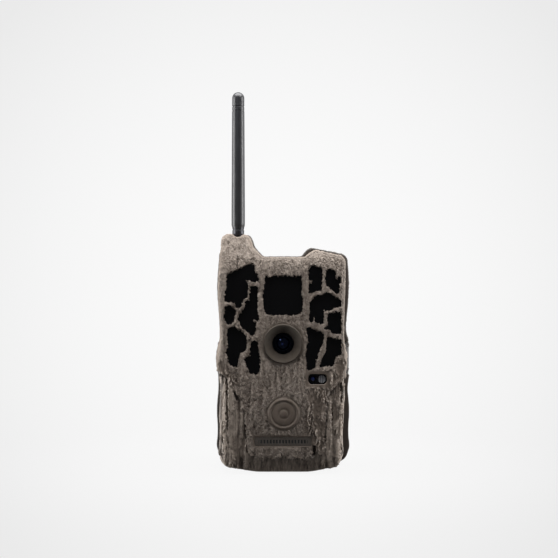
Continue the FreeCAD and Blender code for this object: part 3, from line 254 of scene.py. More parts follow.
def ragged_edges(p, keep_out):
    """Shifts in X and Z, the same right through the skin, that make the openings' edges ragged."""
    flat = p * np.array([1, 0, 1])
    amount = 1.25 * keep_out * smooth(-46.2, -46.8, p[:, 1]) * smooth(45.2, 44, np.abs(p[:, 0]))
    shift = np.zeros_like(p)
    shift[:, 0] = noise(flat, (1.6, 1, 1.05), 51) * amount
    shift[:, 2] = noise(flat, (1.05, 1, 1.6), 52) * amount
    return shift


def near_openings(p):
    """1 on the part of the front that the window openings cut through."""
    return smooth(-44, -46, p[:, 1]) * smooth(46, 44.5, np.abs(p[:, 0])) * smooth(68, 71, p[:, 2])


def outside(circle, x, y):
    """How far x, y is outside a circle given as its centre and radius."""
    return np.hypot(x - circle[0], y - circle[1]) - circle[2]


def front_keep_out(p):
    """0 where the front shell stays as moulded, 1 where bark may be carved."""
    x, y, z = p.T
    facing = y < -44
    free = np.ones(len(p))
    ring = smooth(LENS_CLEAR, LENS_CLEAR + 1.6, np.hypot(x, z - LENS_Z))
    badge = smooth(BADGE[2] - 0.6, BADGE[2] + 0.9, np.hypot(x - BADGE[0], z - BADGE[1]))
    x0, x1, z0, z1 = NAMEPLATE
    plate = smooth(-0.2, 1.0, np.maximum(np.maximum(x0 - x, x - x1), np.maximum(z0 - z, z - z1)))
    pill = smooth(0, 1.1, np.maximum(np.abs(x - PILL[0]) - PILL[2], np.abs(z - PILL[1]) - PILL[3]))
    free *= np.where(facing, ring * badge * plate * pill, 1)
    latch = np.maximum(np.maximum(44.5 - x, -27.0 - y), np.abs(z - LATCH_Z) - LATCH_CLEAR)
    hinge = np.maximum(np.maximum(x + 45.0, -14.5 - y), np.abs(z - HINGE_Z) - 16.5)
    seat = np.maximum(outside(ANTENNA_SEAT, x, y), 174.5 - z)
    port = np.maximum(outside(POWER_PORT, x, y), z - 3)
    for away in (latch, hinge, seat, port):
        free *= smooth(0.2, 1.4, away)
    return free * smooth(-11.6, -13.4, y)


def rear_relief(p):
    """Height over the rear shell's mould surface, and the shares of rough bark and of wavy crests (none)."""
    x, y, z = p.T
    warped = p.copy()
    warped[:, 0] += noise(p, (9, 9, 17), 31) * 1.5
    warped[:, 1] += noise(p, (9, 9, 17), 33) * 1.5
    ragged = noise(p, (1.6, 1.6, 3.2), 34) * 0.8 + noise(p, (6, 6, 10), 35) * 1.6
    rough = smooth(-0.4, 0.4, z - 74 + 4 * noise(p, (14, 14, 30), 36) + ragged)
    wood = smooth_wood(p, warped) * 0.6 - 0.45
    height = (0.1 + rough_bark(p, warped)) * rough + wood * (1 - rough)
    return height, rough, 0 * rough


def rear_keep_out(p):
    """0 where the rear shell stays as moulded, 1 where bark may be carved."""
    x, y, z = p.T
    half, lowest, highest = BRACKET
    free = smooth(-10.6, -9.2, y) * smooth(15.9, 15.2, y)
    bracket = np.maximum(np.maximum(np.abs(x) - half, 13.5 - y), np.maximum(lowest - z, z - highest))
    latch = np.maximum(42.5 - x, np.abs(z - LATCH_Z) - LATCH_CLEAR)
    hinge = np.maximum(np.maximum(x + 43.5, y + 3.6), np.abs(z - HINGE_Z) - 16.2)
    rebate = np.maximum(x + 47.0, y + 6.0)
    socket = np.maximum(np.hypot(x, y) - TRIPOD_CLEAR, z - 2)
    for away in (bracket, latch, hinge, rebate, socket):
        free *= smooth(0.1, 1.3, away)
    return free


def latch_shoulders(p):
    """Outward shift of the rear shell that leaves the lever lying between two swells."""
    x, y, z = p.T
    off = np.abs(z - LATCH_Z)
    along = smooth(8.5, 9.1, off) * smooth(25, 12, off)
    behind = np.maximum(smooth(3.0, 4.4, y), smooth(12.5, 13.3, off))
    size = np.where(z > LATCH_Z, 1.9, 0.9)
    return size * along * behind * smooth(44.6, 47, x) * smooth(14.5, 9, y)


def relaxed(values, edges, rounds):
    """Averages values over each vertex and its neighbours, rounds times over."""
    count = np.bincount(edges.ravel(), minlength=len(values)).astype(float)[:, None] + 1
    out = values.reshape(len(values), -1).astype(float)
    for _ in range(rounds):
        total = out.copy()
        for k in range(out.shape[1]):
            total[:, k] += np.bincount(edges[:, 0], out[edges[:, 1], k], len(out))
            total[:, k] += np.bincount(edges[:, 1], out[edges[:, 0], k], len(out))
        out = total / count
    return out.reshape(values.shape)


def evened(piece, voxel):
    """Gives the piece an even mesh of voxel millimetres and returns it with its edges."""
    mesher = piece.modifiers.new("even", "REMESH")
    mesher.mode = "VOXEL"
    mesher.voxel_size = voxel * MM
    piece.data = applied(piece)
    edges = np.zeros(len(piece.data.edges) * 2, np.int64)
    piece.data.edges.foreach_get("vertices", edges)
    return piece.data, edges.reshape(-1, 2)


def calm_normals(mesh, edges):
    """Unit normals averaged over a few rings of neighbours."""
    normals = np.zeros(len(mesh.vertices) * 3)
    mesh.vertices.foreach_get("normal", normals)
    normals = relaxed(normals.reshape(-1, 3), edges, 6)
    return normals / np.maximum(np.linalg.norm(normals, axis=1, keepdims=True), 1e-6)


def open_air(mesh, p, normals, edges, candidate, lift=0.6, reach=60.0):
    """1 where nothing of the shell stands over a candidate vertex, softly falling to 0 elsewhere."""
    polygons = [tuple(face.vertices) for face in mesh.polygons]
    tree = BVHTree.FromPolygons([Vector(v) for v in p.tolist()], polygons)
    free = np.zeros(len(p))
    for i in np.nonzero(candidate)[0]:
        n = Vector(normals[i])
        free[i] = tree.ray_cast(Vector(p[i]) + n * lift, n, reach)[0] is None
    return smooth(0.35, 0.9, relaxed(free, edges, 3))


def store(mesh, **layers):
    """Keeps a value per vertex under each name, for the materials to read."""
    for name, values in layers.items():
        attribute = mesh.attributes.new(name, "FLOAT", "POINT")
        attribute.data.foreach_set("value", values.astype(np.float32))


def carved_shell(node, voxel, relief, keep_out, outward, faces_kept):
    """Copies a CAD shell as an even mesh, carves its outside and returns it as a new piece."""
    source = NODES[node]
    piece = bpy.data.objects.new("bark_" + node, source.data.copy())
    bpy.context.scene.collection.objects.link(piece)
    mesh, edges = evened(piece, voxel)
    p, normals = vertices(mesh), calm_normals(mesh, edges)
    free = open_air(mesh, p, normals, edges, outward(p, normals)) * keep_out(p)
    height = relief(p)[0]
    # The brink is the rim of an opening: it is worn down, the opening is cut a little wider, and the bark
    # material darkens the rim as painted shade.
    level = relaxed((np.abs(normals[:, 1]) > 0.75).astype(float), edges, 7)
    brink = (1 - smooth(0.55, 0.98, level)) * near_openings(p)
    wider = normals * np.array([-0.35, 0, -0.35]) * (near_openings(p) * keep_out(p))[:, None]
    p = relaxed(p, edges, 1)
    p = p + normals * ((height - 0.55 * brink) * free)[:, None]
    if node == "front_housing":
        p = p + ragged_edges(p, keep_out(p)) + wider
    else:
        p[:, 0] += latch_shoulders(p)
    # Stored for the bark material, which paints shade along the openings' rims.
    store(mesh, brink=brink)
    mesh.vertices.foreach_set("co", (p * MM).ravel())
    thin = piece.modifiers.new("thin", "DECIMATE")
    thin.ratio = faces_kept / (2.0 * len(mesh.polygons))
    piece.data = mesh = applied(piece)
    p = vertices(mesh)
    height, rough, wavy = relief(p)
    kept = keep_out(p)
    store(mesh, relief=height * kept, rough=rough * kept, wavy=wavy, carved=kept)
    mesh.shade_smooth()
    mesh.set_sharp_from_angle(angle=math.radians(52))
    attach(piece, source["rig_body"])
    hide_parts(node)
    return piece


def applied(piece):
    """The piece's mesh with its modifiers applied, which are then removed."""
    ready = piece.evaluated_get(bpy.context.evaluated_depsgraph_get())
    mesh = bpy.data.meshes.new_from_object(ready)
    piece.modifiers.clear()
    return mesh


def vertices(mesh):
    """Vertex places in millimetres, (n, 3)."""
    co = np.zeros(len(mesh.vertices) * 3)
    mesh.vertices.foreach_get("co", co)
    return co.reshape(-1, 3) / MM


# ---- Materials ----
class Shader:
    """A material's node tree, built by short calls. Inputs may be values or other nodes' outputs."""

    def __init__(self, name, **settings):
        self.material = bpy.data.materials.new(name)
        self.material.use_nodes = True
        self.tree = self.material.node_tree
        self.tree.nodes.clear()
        self.surface = self.add("ShaderNodeBsdfPrincipled", **settings)
        self.output = self.add("ShaderNodeOutputMaterial")
        self.tree.links.new(self.surface.outputs[0], self.output.inputs["Surface"])

    def add(self, kind, props=None, **inputs):
        node = self.tree.nodes.new(kind)
        for key, value in (props or {}).items():
            setattr(node, key, value)
        for key, value in inputs.items():
            self.put(node, key, value)
        return node

    def put(self, node, key, value):
        """Sets or links an input, named with underscores or numbered as i0, i1 and so on."""
        numbered = key[0] == "i" and key[1:].isdigit()
        socket = node.inputs[int(key[1:])] if numbered else node.inputs[key.replace("_", " ")]
        if isinstance(value, bpy.types.NodeSocket):
            self.tree.links.new(value, socket)
        elif isinstance(value, bpy.types.Node):
            self.tree.links.new(value.outputs[0], socket)
        else:
            if socket.type == "RGBA" and len(value) == 3:
                value = (*value, 1.0)
            socket.default_value = value

    def set(self, **inputs):
        for key, value in inputs.items():
            self.put(self.surface, key, value)

    def place(self, scale):
        """Object position scaled so that one unit is scale millimetres along each axis."""
        if isinstance(scale, (int, float)):
            scale = (scale, scale, scale)
        coords = self.add("ShaderNodeTexCoord")
        return self.add("ShaderNodeMapping", Vector=coords.outputs["Object"],
                        Scale=[1 / (s * MM) for s in scale]).outputs[0]

    def noise(self, scale, detail=3.0, roughness=0.55, distortion=0.0):
        return self.add("ShaderNodeTexNoise", Vector=self.place(scale), Scale=1.0, Detail=detail,
                        Roughness=roughness, Distortion=distortion).outputs[0]

    def cells(self, scale):
        return self.add("ShaderNodeTexVoronoi", Vector=self.place(scale), Scale=1.0).outputs["Distance"]

    def math(self, operation, a, b=0.0, c=0.0):
        node = self.add("ShaderNodeMath", {"operation": operation})
        for k, value in enumerate((a, b, c)):
            self.put(node, "i%d" % k, value)
        return node.outputs[0]

    def times(self, a, b):
        return self.math("MULTIPLY", a, b)

    def between(self, value, low, high, to_low=0.0, to_high=1.0):
        """Eased step of value from to_low at low to to_high at high."""
        return self.add("ShaderNodeMapRange", {"interpolation_type": "SMOOTHSTEP"}, Value=value, From_Min=low,
                        From_Max=high, To_Min=to_low, To_Max=to_high).outputs[0]

    def mix(self, share, a, b):
        node = self.add("ShaderNodeMix", {"data_type": "RGBA"})
        self.put(node, "i0", share)
        self.put(node, "i6", a)
        self.put(node, "i7", b)
        return node.outputs[2]

    def bump(self, height, depth, normal=None, strength=1.0):
        inputs = {"Height": height, "Distance": depth * MM, "Strength": strength}
        if normal is not None:
            inputs["Normal"] = normal
        return self.add("ShaderNodeBump", **inputs).outputs[0]

    def softened(self, radius):
        """Normal with its edges rounded over radius millimetres."""
        return self.add("ShaderNodeBevel", {"samples": 4}, Radius=radius * MM).outputs[0]

    def attribute(self, name):
        return self.add("ShaderNodeAttribute", {"attribute_name": name}).outputs["Fac"]

    def blend_out(self, share, first, second):
        """Sends a blend of two shaders to the output."""
        mix = self.add("ShaderNodeMixShader", i0=share, i1=first, i2=second)
        self.tree.links.new(mix.outputs[0], self.output.inputs["Surface"])


def tone(colour, factor):
    """The colour made darker or paler by a factor."""
    return [min(1, c * factor) for c in colour]


def bark_material(name, dark, mid, light):
    """Mould-coloured plastic with painted shade in creases, hollows, round the openings and towards the
    bottom, painted highlights on crests and outer edges, and crests finer than the mesh.
    """
    s = Shader(name)
    relief, rough, carved, wavy, brink = map(s.attribute, ("relief", "rough", "carved", "wavy", "brink"))
    x, _, height = s.add("ShaderNodeSeparateXYZ", Vector=s.place(1.0)).outputs
    sideways = s.math("ABSOLUTE", x)
    bare = s.times(s.math("SUBTRACT", 1.0, rough), carved)
    crumbly = s.math("MULTIPLY_ADD", wavy, -0.8, rough)
    winding = s.math("ABSOLUTE", s.math("SUBTRACT", s.noise((1.15, 1.15, 2.2), 2.0, 0.55, 0.8), 0.5))
    streak = s.noise((1.1, 1.1, 26), 3.0, 0.55)
    # Each layer has a colour, the places that it covers and its share there.
    layers = [
        # Painted highlights: crests paler, and the fine winding crest lines paler.
        (light, s.between(relief, 0.0, 0.6), 0.55),
        (light, s.times(s.between(winding, 0.045, 0.0), crumbly), 0.5),
        # Painted shade beside the fine winding crests.
        (tone(dark, 0.45), s.times(s.between(winding, 0.10, 0.2), crumbly), 0.45),
        # Painted shade and light on the bare wood: darker near the rough bark's step, paler on the turned
        # outer edges where side lamps would catch it.
        (tone(dark, 0.6), s.between(sideways, 41.0, 30.0), s.times(bare, 0.6)),
        (tone(light, 1.35), s.between(sideways, 40.0, 45.0), s.times(bare, 0.5)),
        # Painted highlight on the raised bare wood.
        (light, s.between(relief, -1.3, -0.45), s.times(bare, 0.6)),
        (light, s.between(streak, 0.5, 0.72), s.times(bare, 0.6)),
        (tone(dark, 0.4), s.between(streak, 0.46, 0.3), s.times(bare, 0.8)),
        # Painted shade in the bare wood's deep hollows and in the rough bark's creases.
        (tone(dark, 0.3), s.between(relief, -1.2, -2.0), s.times(bare, 0.75)),
        (tone(dark, 0.22), s.between(relief, -0.15, -0.9), s.math("MULTIPLY_ADD", rough, 0.8, 0.1)),
        # Painted shade: darker along the rims round the openings.
        (tone(dark, 0.5), brink, 0.75),
        # Painted shade: bark other than the bare wood darker towards the bottom, where the top lamp's light
        # falls off.
        (tone(dark, 0.45), s.times(s.between(height, 84, 22), s.math("MULTIPLY_ADD", bare, -1.0, 1.0)), 0.42),
        (tone(dark, 0.5), s.math("SUBTRACT", 1.0, carved), 0.3),
        # Painted highlight on the wavy crests.
        (tone(light, 1.25), s.times(wavy, s.between(relief, 0.25, 0.8)), 0.6),
    ]
    base = s.mix(s.between(s.noise((6, 6, 16), 4.0, 0.6), 0.3, 0.7), dark, mid)
    for colour, where, share in layers:
        base = s.mix(s.times(where, share), base, colour)
    fibres = s.times(s.math("MULTIPLY_ADD", rough, -0.7, 1.0), carved)
    normal = s.bump(winding, -1.6, strength=s.times(crumbly, 0.8))
    normal = s.bump(s.noise((0.4, 0.4, 8.0), 3.0, 0.5), 0.2, normal, fibres)
    normal = s.bump(s.noise(0.2, 2.0), 0.05, normal)
    gloss = s.between(s.noise(2.2), 0.3, 0.7, 0.48, 0.62)
    s.set(Base_Color=base, Roughness=s.math("MULTIPLY_ADD", bare, -0.12, gloss), Normal=normal)
    s.put(s.surface, "Specular_IOR_Level", 0.36)
    return s.material


def plastic(name, colour, roughness=0.5, grain=0.22, depth=0.02, edge=0.2, tint=0.25, specular=0.5):
    """Moulded plastic with a spark-eroded grain and slight colour drift."""
    s = Shader(name)
    drift = s.between(s.noise(9.0, 3.0), 0.3, 0.7)
    base = s.mix(drift, tone(colour, 1 - tint), tone(colour, 1 + tint))
    rough = s.between(s.noise(1.7, 3.0), 0.3, 0.7, roughness - 0.05, roughness + 0.07)
    normal = s.bump(s.noise(grain, 2.0), depth, s.softened(edge) if edge else None)
    s.set(Base_Color=base, Roughness=rough, Normal=normal)
    s.put(s.surface, "Specular_IOR_Level", specular)
    return s.material


def from_point(s, x, z):
    """Distance in millimetres from the line through x, z along Y."""
    across = s.add("ShaderNodeVectorMath", {"operation": "MULTIPLY_ADD"},
                   i0=s.place(1.0), i1=(1, 0, 1), i2=(-x, 0, -z))
    return s.add("ShaderNodeVectorMath", {"operation": "LENGTH"}, i0=across).outputs["Value"]


def bezel_material():
    """Dull moulded funnel, black at its throat, with painted light: its upper half is painted a shade paler,
    standing in for light that its downward-facing top inside doesn't get.
    """
    s = Shader("bezel_plastic")
    height = s.add("ShaderNodeSeparateXYZ", Vector=s.place(1.0)).outputs[2]
    drift = s.between(s.noise(9.0, 3.0), 0.3, 0.7)
    base = s.mix(drift, (0.044, 0.0355, 0.0285), (0.052, 0.042, 0.0335))
    # Painted light: paler towards the funnel's top, standing in for light that its downward-facing top inside
    # doesn't get.
    base = s.mix(s.between(height, LENS_Z - 4, LENS_Z + 13), base, (0.098, 0.084, 0.070))
    within = s.between(from_point(s, 0, LENS_Z), THROAT + 0.1, THROAT - 0.1)
    base = s.mix(within, base, (0.002, 0.002, 0.002))
    s.set(Base_Color=base, Roughness=s.between(s.noise(1.7, 3.0), 0.3, 0.7, 0.6, 0.72),
          Normal=s.bump(s.noise(0.3, 2.0), 0.02, s.softened(0.25)))
    s.put(s.surface, "Specular_IOR_Level", 0.08)
    return s.material


def gloss_window(name, ridge=0.0):
    """Polished black that only infrared passes, with faint wipe marks."""
    s = Shader(name, Base_Color=(0.0035, 0.0035, 0.004))
    wipe = s.noise((3, 3, 14), 4.0, 0.6)
    s.set(Roughness=s.between(wipe, 0.35, 0.75, 0.05, 0.16))
    s.put(s.surface, "Specular_IOR_Level", 0.4)
    normal = s.bump(s.noise(6.0, 2.0), 0.012)
    if ridge:
        rings = s.add("ShaderNodeTexWave", {"wave_type": "RINGS", "rings_direction": "Y"},
                      Vector=s.place(2.6), Scale=1.0).outputs["Fac"]
        normal = s.bump(rings, ridge, normal)
    s.set(Normal=normal)
    return s.material


def metal(name, colour, roughness=0.3, brush=(0.15, 0.15, 6.0), depth=0.006, edge=0.12):
    """Bare or plated metal with fine directional scratches."""
    s = Shader(name, Metallic=1.0)
    lines = s.noise(brush, 3.0, 0.6)
    base = s.mix(s.between(s.noise(4.0), 0.3, 0.7), tone(colour, 0.8), colour)
    s.set(Base_Color=base, Roughness=s.between(lines, 0.3, 0.7, roughness - 0.07, roughness + 0.12),
          Normal=s.bump(lines, depth, s.softened(edge)))
    return s.material


def rubber(name, colour, roughness=0.55, depth=0.015):
    """Moulded rubber with a patchy bloom."""
    s = Shader(name)
    bloom = s.between(s.noise((5, 5, 12), 4.0, 0.6), 0.4, 0.75)
    s.set(Base_Color=s.mix(s.times(bloom, 0.5), colour, [c * 1.6 + 0.004 for c in colour]),
          Roughness=s.between(s.noise(1.4), 0.3, 0.7, roughness - 0.06, roughness + 0.06),
          Normal=s.bump(s.noise(0.22, 2.0), depth, s.softened(0.15)))
    return s.material


def circuit(name):
    """Solder mask over fine tracks and small pads."""
    s = Shader(name)
    tracks = s.add("ShaderNodeTexBrick", {"offset": 0.35}, Vector=s.place((1.3, 1.3, 1.3)), Scale=1.0,
                   Mortar_Size=0.09, Brick_Width=2.6, Row_Height=0.9)
    lines = tracks.outputs["Fac"]
    pads = s.between(s.cells(2.4), 0.20, 0.17)
    base = s.mix(lines, (0.006, 0.055, 0.022), (0.012, 0.105, 0.042))
    base = s.mix(pads, base, (0.62, 0.58, 0.45))
    s.set(Base_Color=base, Metallic=s.times(pads, 0.9), Roughness=0.32,
          Normal=s.bump(lines, 0.03, s.bump(pads, 0.04)))
    return s.material


def thin_glass(name, tint, haze=0.02):
    """Flat pane: lets light straight through with a tint, and mirrors more at a slant."""
    s = Shader(name)
    through = s.add("ShaderNodeBsdfTransparent", Color=tint)
    shine = s.add("ShaderNodeBsdfGlossy", Color=(1, 1, 1),
                  Roughness=s.between(s.noise(2.0), 0.4, 0.8, haze, haze + 0.04))
    share = s.between(s.add("ShaderNodeFresnel", IOR=1.35).outputs[0], 0.0, 1.0)
    s.blend_out(share, through, shine)
    s.tree.nodes.remove(s.surface)
    return s.material


def sleeve_material():
    """Printed shrink sleeve of a cell: a dark body and a coppery band towards the raised terminal."""
    s = Shader("cell_sleeve")
    band = s.between(s.attribute("along"), 0.70, 0.715)
    body = s.mix(s.between(s.noise(5.0), 0.3, 0.7), (0.012, 0.013, 0.015), (0.02, 0.021, 0.024))
    s.set(Base_Color=s.mix(band, body, (0.55, 0.27, 0.10)), Metallic=s.times(band, 0.8),
          Roughness=s.between(s.noise(1.2), 0.3, 0.7, 0.24, 0.34), Normal=s.bump(s.noise(0.9), 0.02))
    return s.material


def screen_material():
    """Switched-off colour screen under its window: near black with a faint pixel weave."""
    s = Shader("screen", Roughness=0.12, Coat_Weight=0.6)
    weave = s.add("ShaderNodeTexChecker", Vector=s.place(0.3), Scale=1.0).outputs["Fac"]
    base = s.mix(weave, (0.009, 0.012, 0.016), (0.014, 0.017, 0.021))
    s.set(Base_Color=base, Normal=s.bump(weave, 0.003))
    return s.material


def lens_material():
    """Front element with a blue-violet coating over darkness, and a painted highlight: a small pale glint
    painted just left of and below its middle.
    """
    s = Shader("coated_lens", Roughness=0.03, Coat_Weight=1.0)
    facing = s.add("ShaderNodeLayerWeight", Blend=0.25).outputs["Facing"]
    base = s.mix(s.between(facing, 0.0, 0.6), (0.001, 0.002, 0.012), (0.001, 0.001, 0.002))
    # Painted highlight: a small pale bluish glint painted on the element, lit by no lamp.
    painted_glint = s.between(from_point(s, -0.5, LENS_Z - 0.5), 1.4, 0.1)
    s.set(Base_Color=s.mix(painted_glint, base, (0.40, 0.44, 0.58)))
    s.put(s.surface, "Coat_Tint", (0.55, 0.65, 1.0))
    s.put(s.surface, "Coat_Roughness", 0.02)
    return s.material


def faceted_sensor():
    """Pale clear cap over a light sensor, with upright facets inside."""
    s = Shader("faceted_sensor", Coat_Weight=0.6)
    wave = s.add("ShaderNodeTexWave", {"bands_direction": "X"}, Vector=s.place(4.2), Scale=1.0)
    facets = wave.outputs["Fac"]
    base = s.mix(s.between(facets, 0.15, 0.85), (0.09, 0.09, 0.10), (0.40, 0.40, 0.42))
    s.set(Base_Color=base, Roughness=0.28, Normal=s.bump(facets, 0.12))
    return s.material


def blue_dome():
    """Deep blue tinted dome of the status light, paler towards its middle."""
    s = Shader("blue_dome", Coat_Weight=1.0, Roughness=0.12)
    facing = s.add("ShaderNodeLayerWeight", Blend=0.5).outputs["Facing"]
    s.set(Base_Color=s.mix(s.between(facing, 0.0, 0.7), (0.008, 0.017, 0.085), (0.001, 0.002, 0.012)),
          Normal=s.bump(s.noise(0.8), 0.02))
    s.put(s.surface, "Coat_Roughness", 0.04)
    return s.material


def nameplate_material():
    """Dark satin plate with a plain row of upright ticks where a maker would put its name."""
    s = Shader("nameplate")
    x, _, z = s.add("ShaderNodeSeparateXYZ", Vector=s.place(1.0)).outputs
    tick = s.between(s.math("PINGPONG", x, 1.15), 0.72, 0.64)
    row = s.math("LESS_THAN", s.math("ABSOLUTE", s.math("SUBTRACT", z, 24.0)), 1.35)
    span = s.math("LESS_THAN", s.math("ABSOLUTE", x), 18.1)
    inked = s.times(tick, s.times(row, span))
    drift = s.between(s.noise(6.0), 0.3, 0.7)
    base = s.mix(inked, s.mix(drift, (0.062, 0.052, 0.043), (0.08, 0.067, 0.057)), (0.006, 0.006, 0.006))
    s.set(Base_Color=base, Roughness=s.between(s.noise(1.5), 0.3, 0.7, 0.42, 0.52),
          Normal=s.bump(inked, -0.1, s.bump(s.noise(0.3, 2.0), 0.02, s.softened(0.3))))
    return s.material


def assign(material, *names):
    """Gives CAD nodes their one material."""
    for name in names:
        slots = NODES[name].data.materials
        slots.clear()
        slots.append(material)


# ---- Pieces made here ----
def new_piece(name, verts, faces, material, body, smooth_shading=True):
    """A mesh with verts in millimetres that rides on body."""
    mesh = bpy.data.meshes.new(name)
    mesh.from_pydata([[c * MM for c in v] for v in verts], [], faces)
    mesh.validate()
    piece = bpy.data.objects.new(name, mesh)
    bpy.context.scene.collection.objects.link(piece)
    mesh.materials.append(material)
    if smooth_shading:
        mesh.shade_smooth()
    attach(piece, body)
    return piece


def ring_quads(rings, steps):
    """Quads between rings of steps verts each, one ring after the other."""
    faces = []
    for i in range(rings - 1):
        for k in range(steps):
            a, b = i * steps + k, i * steps + (k + 1) % steps
            faces.append((a, b, b + steps, a + steps))
    return faces


def lathe(profile, centre, flip=False):
    """Verts and quads of a profile of (radius, height) turned about Z; flip turns it upside down."""
    verts = []
    sign = -1 if flip else 1
    for r, h in profile:
        for k in range(LATHE_STEPS):
            a = 2 * math.pi * k / LATHE_STEPS
            x, y = r * math.cos(a), sign * r * math.sin(a)
            verts.append((centre[0] + x, centre[1] + y, centre[2] + sign * h))
    return verts, ring_quads(len(profile), LATHE_STEPS)


def coil(centre, r_from, r_to, height, turns, wire, direction):
    """Verts and faces of a tapered coil spring along Z, with its wire's ends closed."""
    steps, ring = int(turns * 20), 8
    verts = []
    for i in range(steps + 1):
        t = i / steps
        a, r, h = 2 * math.pi * turns * t, r_from + (r_to - r_from) * t, wire + (height - 2 * wire) * t
        for k in range(ring):
            b = 2 * math.pi * k / ring
            rr = r + wire * math.cos(b)
            verts.append((centre[0] + rr * math.cos(a), centre[1] + rr * math.sin(a),
                          centre[2] + direction * (h + wire * math.sin(b))))
    ends = [tuple(range(ring)), tuple(range(steps * ring, (steps + 1) * ring))]
    return verts, ring_quads(steps + 1, ring) + ends


def merged(parts):
    """Joins lists of verts and faces into one."""
    verts, faces = [], []
    for v, f in parts:
        faces += [tuple(i + len(verts) for i in face) for face in f]
        verts += v
    return verts, faces


def islands_boxes(node):
    """Lowest and highest corners, in millimetres, of each separate solid in a CAD node."""
    mesh = NODES[node].data
    bm = bmesh.new()
    bm.from_mesh(mesh)
    bmesh.ops.remove_doubles(bm, verts=bm.verts, dist=1e-6)
    seen, boxes = set(), []
    for v in bm.verts:
        if v in seen:
            continue
        stack, group = [v], []
        seen.add(v)
        while stack:
            w = stack.pop()
            group.append(w.co)
            for e in w.link_edges:
                o = e.other_vert(w)
                if o not in seen:
                    seen.add(o)
                    stack.append(o)
        co = np.array(group) / MM
        boxes.append((co.min(0), co.max(0)))
    bm.free()
    return sorted(boxes, key=lambda b: (round(b[0][1]), b[0][0]))


def cell_profiles():
    """Sleeve and end caps of an AA cell from its flat end at 0 upwards, as (radius, height)."""
    sleeve = [(5.6, 0.25), (6.2, 0.02), (6.9, 0.0), (7.08, 0.35), (7.1, 1.0), (7.1, 48.2), (7.08, 48.85),
              (6.9, 49.2), (6.2, 49.18), (5.4, 48.9)]
    flat_end = [(0.01, 0.12), (4.6, 0.12), (5.0, 0.3), (5.7, 0.3)]
    nub_end = [(5.5, 48.85), (3.6, 48.85), (2.75, 49.1), (2.7, 50.0), (2.4, CELL_HEIGHT),
               (0.01, CELL_HEIGHT)]
    return sleeve, flat_end, nub_end


def middle(box):
    """Centre in X and Y of a box given as its lowest and highest corners."""
    low, high = box
    return (low[0] + high[0]) / 2, (low[1] + high[1]) / 2


def cells_and_springs(steel):
    """Eight cells with sleeves and terminals, and their coil springs, where the CAD nodes are."""
    sleeves, caps, wires, along = [], [], [], []
    sleeve, flat_end, nub_end = cell_profiles()
    contacts = islands_boxes("battery_contacts")
    plates = [b for b in contacts if b[1][2] - b[0][2] < 1]
    springs = [b for b in contacts if b[1][2] - b[0][2] > 1]
    for low, high in islands_boxes("batteries"):
        centre = middle((low, high))
        spring_low, spring_high = min(springs, key=lambda box: math.dist(middle(box), centre))
        flipped = spring_low[2] > high[2] - 5
        place = (*centre, high[2] if flipped else low[2])
        sleeves.append(lathe(sleeve, place, flipped))
        along += [h / CELL_HEIGHT for _, h in sleeve for _ in range(LATHE_STEPS)]
        caps += [lathe(flat_end, place, flipped), lathe(nub_end, place, flipped)]
        foot = (*centre, spring_high[2] if flipped else spring_low[2])
        height = spring_high[2] - spring_low[2]
        wires.append(coil(foot, 4.15, 2.4, height, 3.2, 0.32, -1 if flipped else 1))
    wires += [dished_plate(low, high) for low, high in plates]
    piece = new_piece("cell_sleeves", *merged(sleeves), sleeve_material(), "battery_tray")
    store(piece.data, along=np.array(along))
    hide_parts("batteries")
    ends = new_piece("cell_terminals", *merged(caps), steel, "battery_tray")
    contact = new_piece("coils_and_plates", *merged(wires), steel, "battery_tray")
    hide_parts("battery_contacts")


def dished_plate(low, high):
    """Verts and faces of a flat contact with turned corners and a round dimple in its middle."""
    cx, cy = middle((low, high))
    rim, mid_r, ring = [], 2.4, 32
    for k in range(ring):
        a = 2 * math.pi * (k + 0.5) / ring
        reach = min(4.0 / max(abs(math.cos(a)), abs(math.sin(a))), 5.0)
        rim.append((reach * math.cos(a), reach * math.sin(a), math.cos(a), math.sin(a)))
    verts = []
    for z, inner_z in ((low[2], low[2] + 0.1), (high[2], high[2] - 0.1)):
        verts += [(cx + x, cy + y, z) for x, y, _, _ in rim]
        verts += [(cx + mid_r * c, cy + mid_r * q, z) for _, _, c, q in rim]
        verts += [(cx + 0.6 * mid_r * c, cy + 0.6 * mid_r * q, inner_z) for _, _, c, q in rim]
    faces, n = [], 3 * ring
    for k in range(ring):
        j = (k + 1) % ring
        for base, turn in ((0, -1), (n, 1)):
            for level in (0, ring):
                row = base + level
                faces.append((row + k, row + j, row + ring + j, row + ring + k)[::turn])
        faces.append((k, j, n + j, n + k))
    faces += [tuple(range(2 * ring, 3 * ring))[::-1], tuple(range(n + 2 * ring, n + 3 * ring))]
    return verts, faces


def ring_symbol(cx, cz, face):
    """Verts and quads of a low ring on a key's face."""
    verts, steps = [], 32
    for r, y in ((1.1, face), (1.2, face + 0.14), (1.6, face + 0.14), (1.7, face)):
        for k in range(steps):
            a = 2 * math.pi * k / steps
            verts.append((cx + r * math.cos(a), y, cz + r * math.sin(a)))
    return verts, ring_quads(4, steps)


def arrow_symbol(cx, cz, face, turn):
    """Verts and faces of a low triangle on a key's face, pointing up and then turned by turn degrees."""
    verts, a = [], math.radians(turn)
    for grow, y in ((1.0, face - 0.05), (0.94, face + 0.16)):
        for px, pz in ((-1.45, -0.85), (1.45, -0.85), (0.0, 1.35)):
            verts.append((cx - grow * (px * math.cos(a) + pz * math.sin(a)), y,
                          cz + grow * (pz * math.cos(a) - px * math.sin(a))))
    return verts, [(0, 1, 4, 3), (1, 2, 5, 4), (2, 0, 3, 5), (3, 4, 5), (0, 2, 1)]


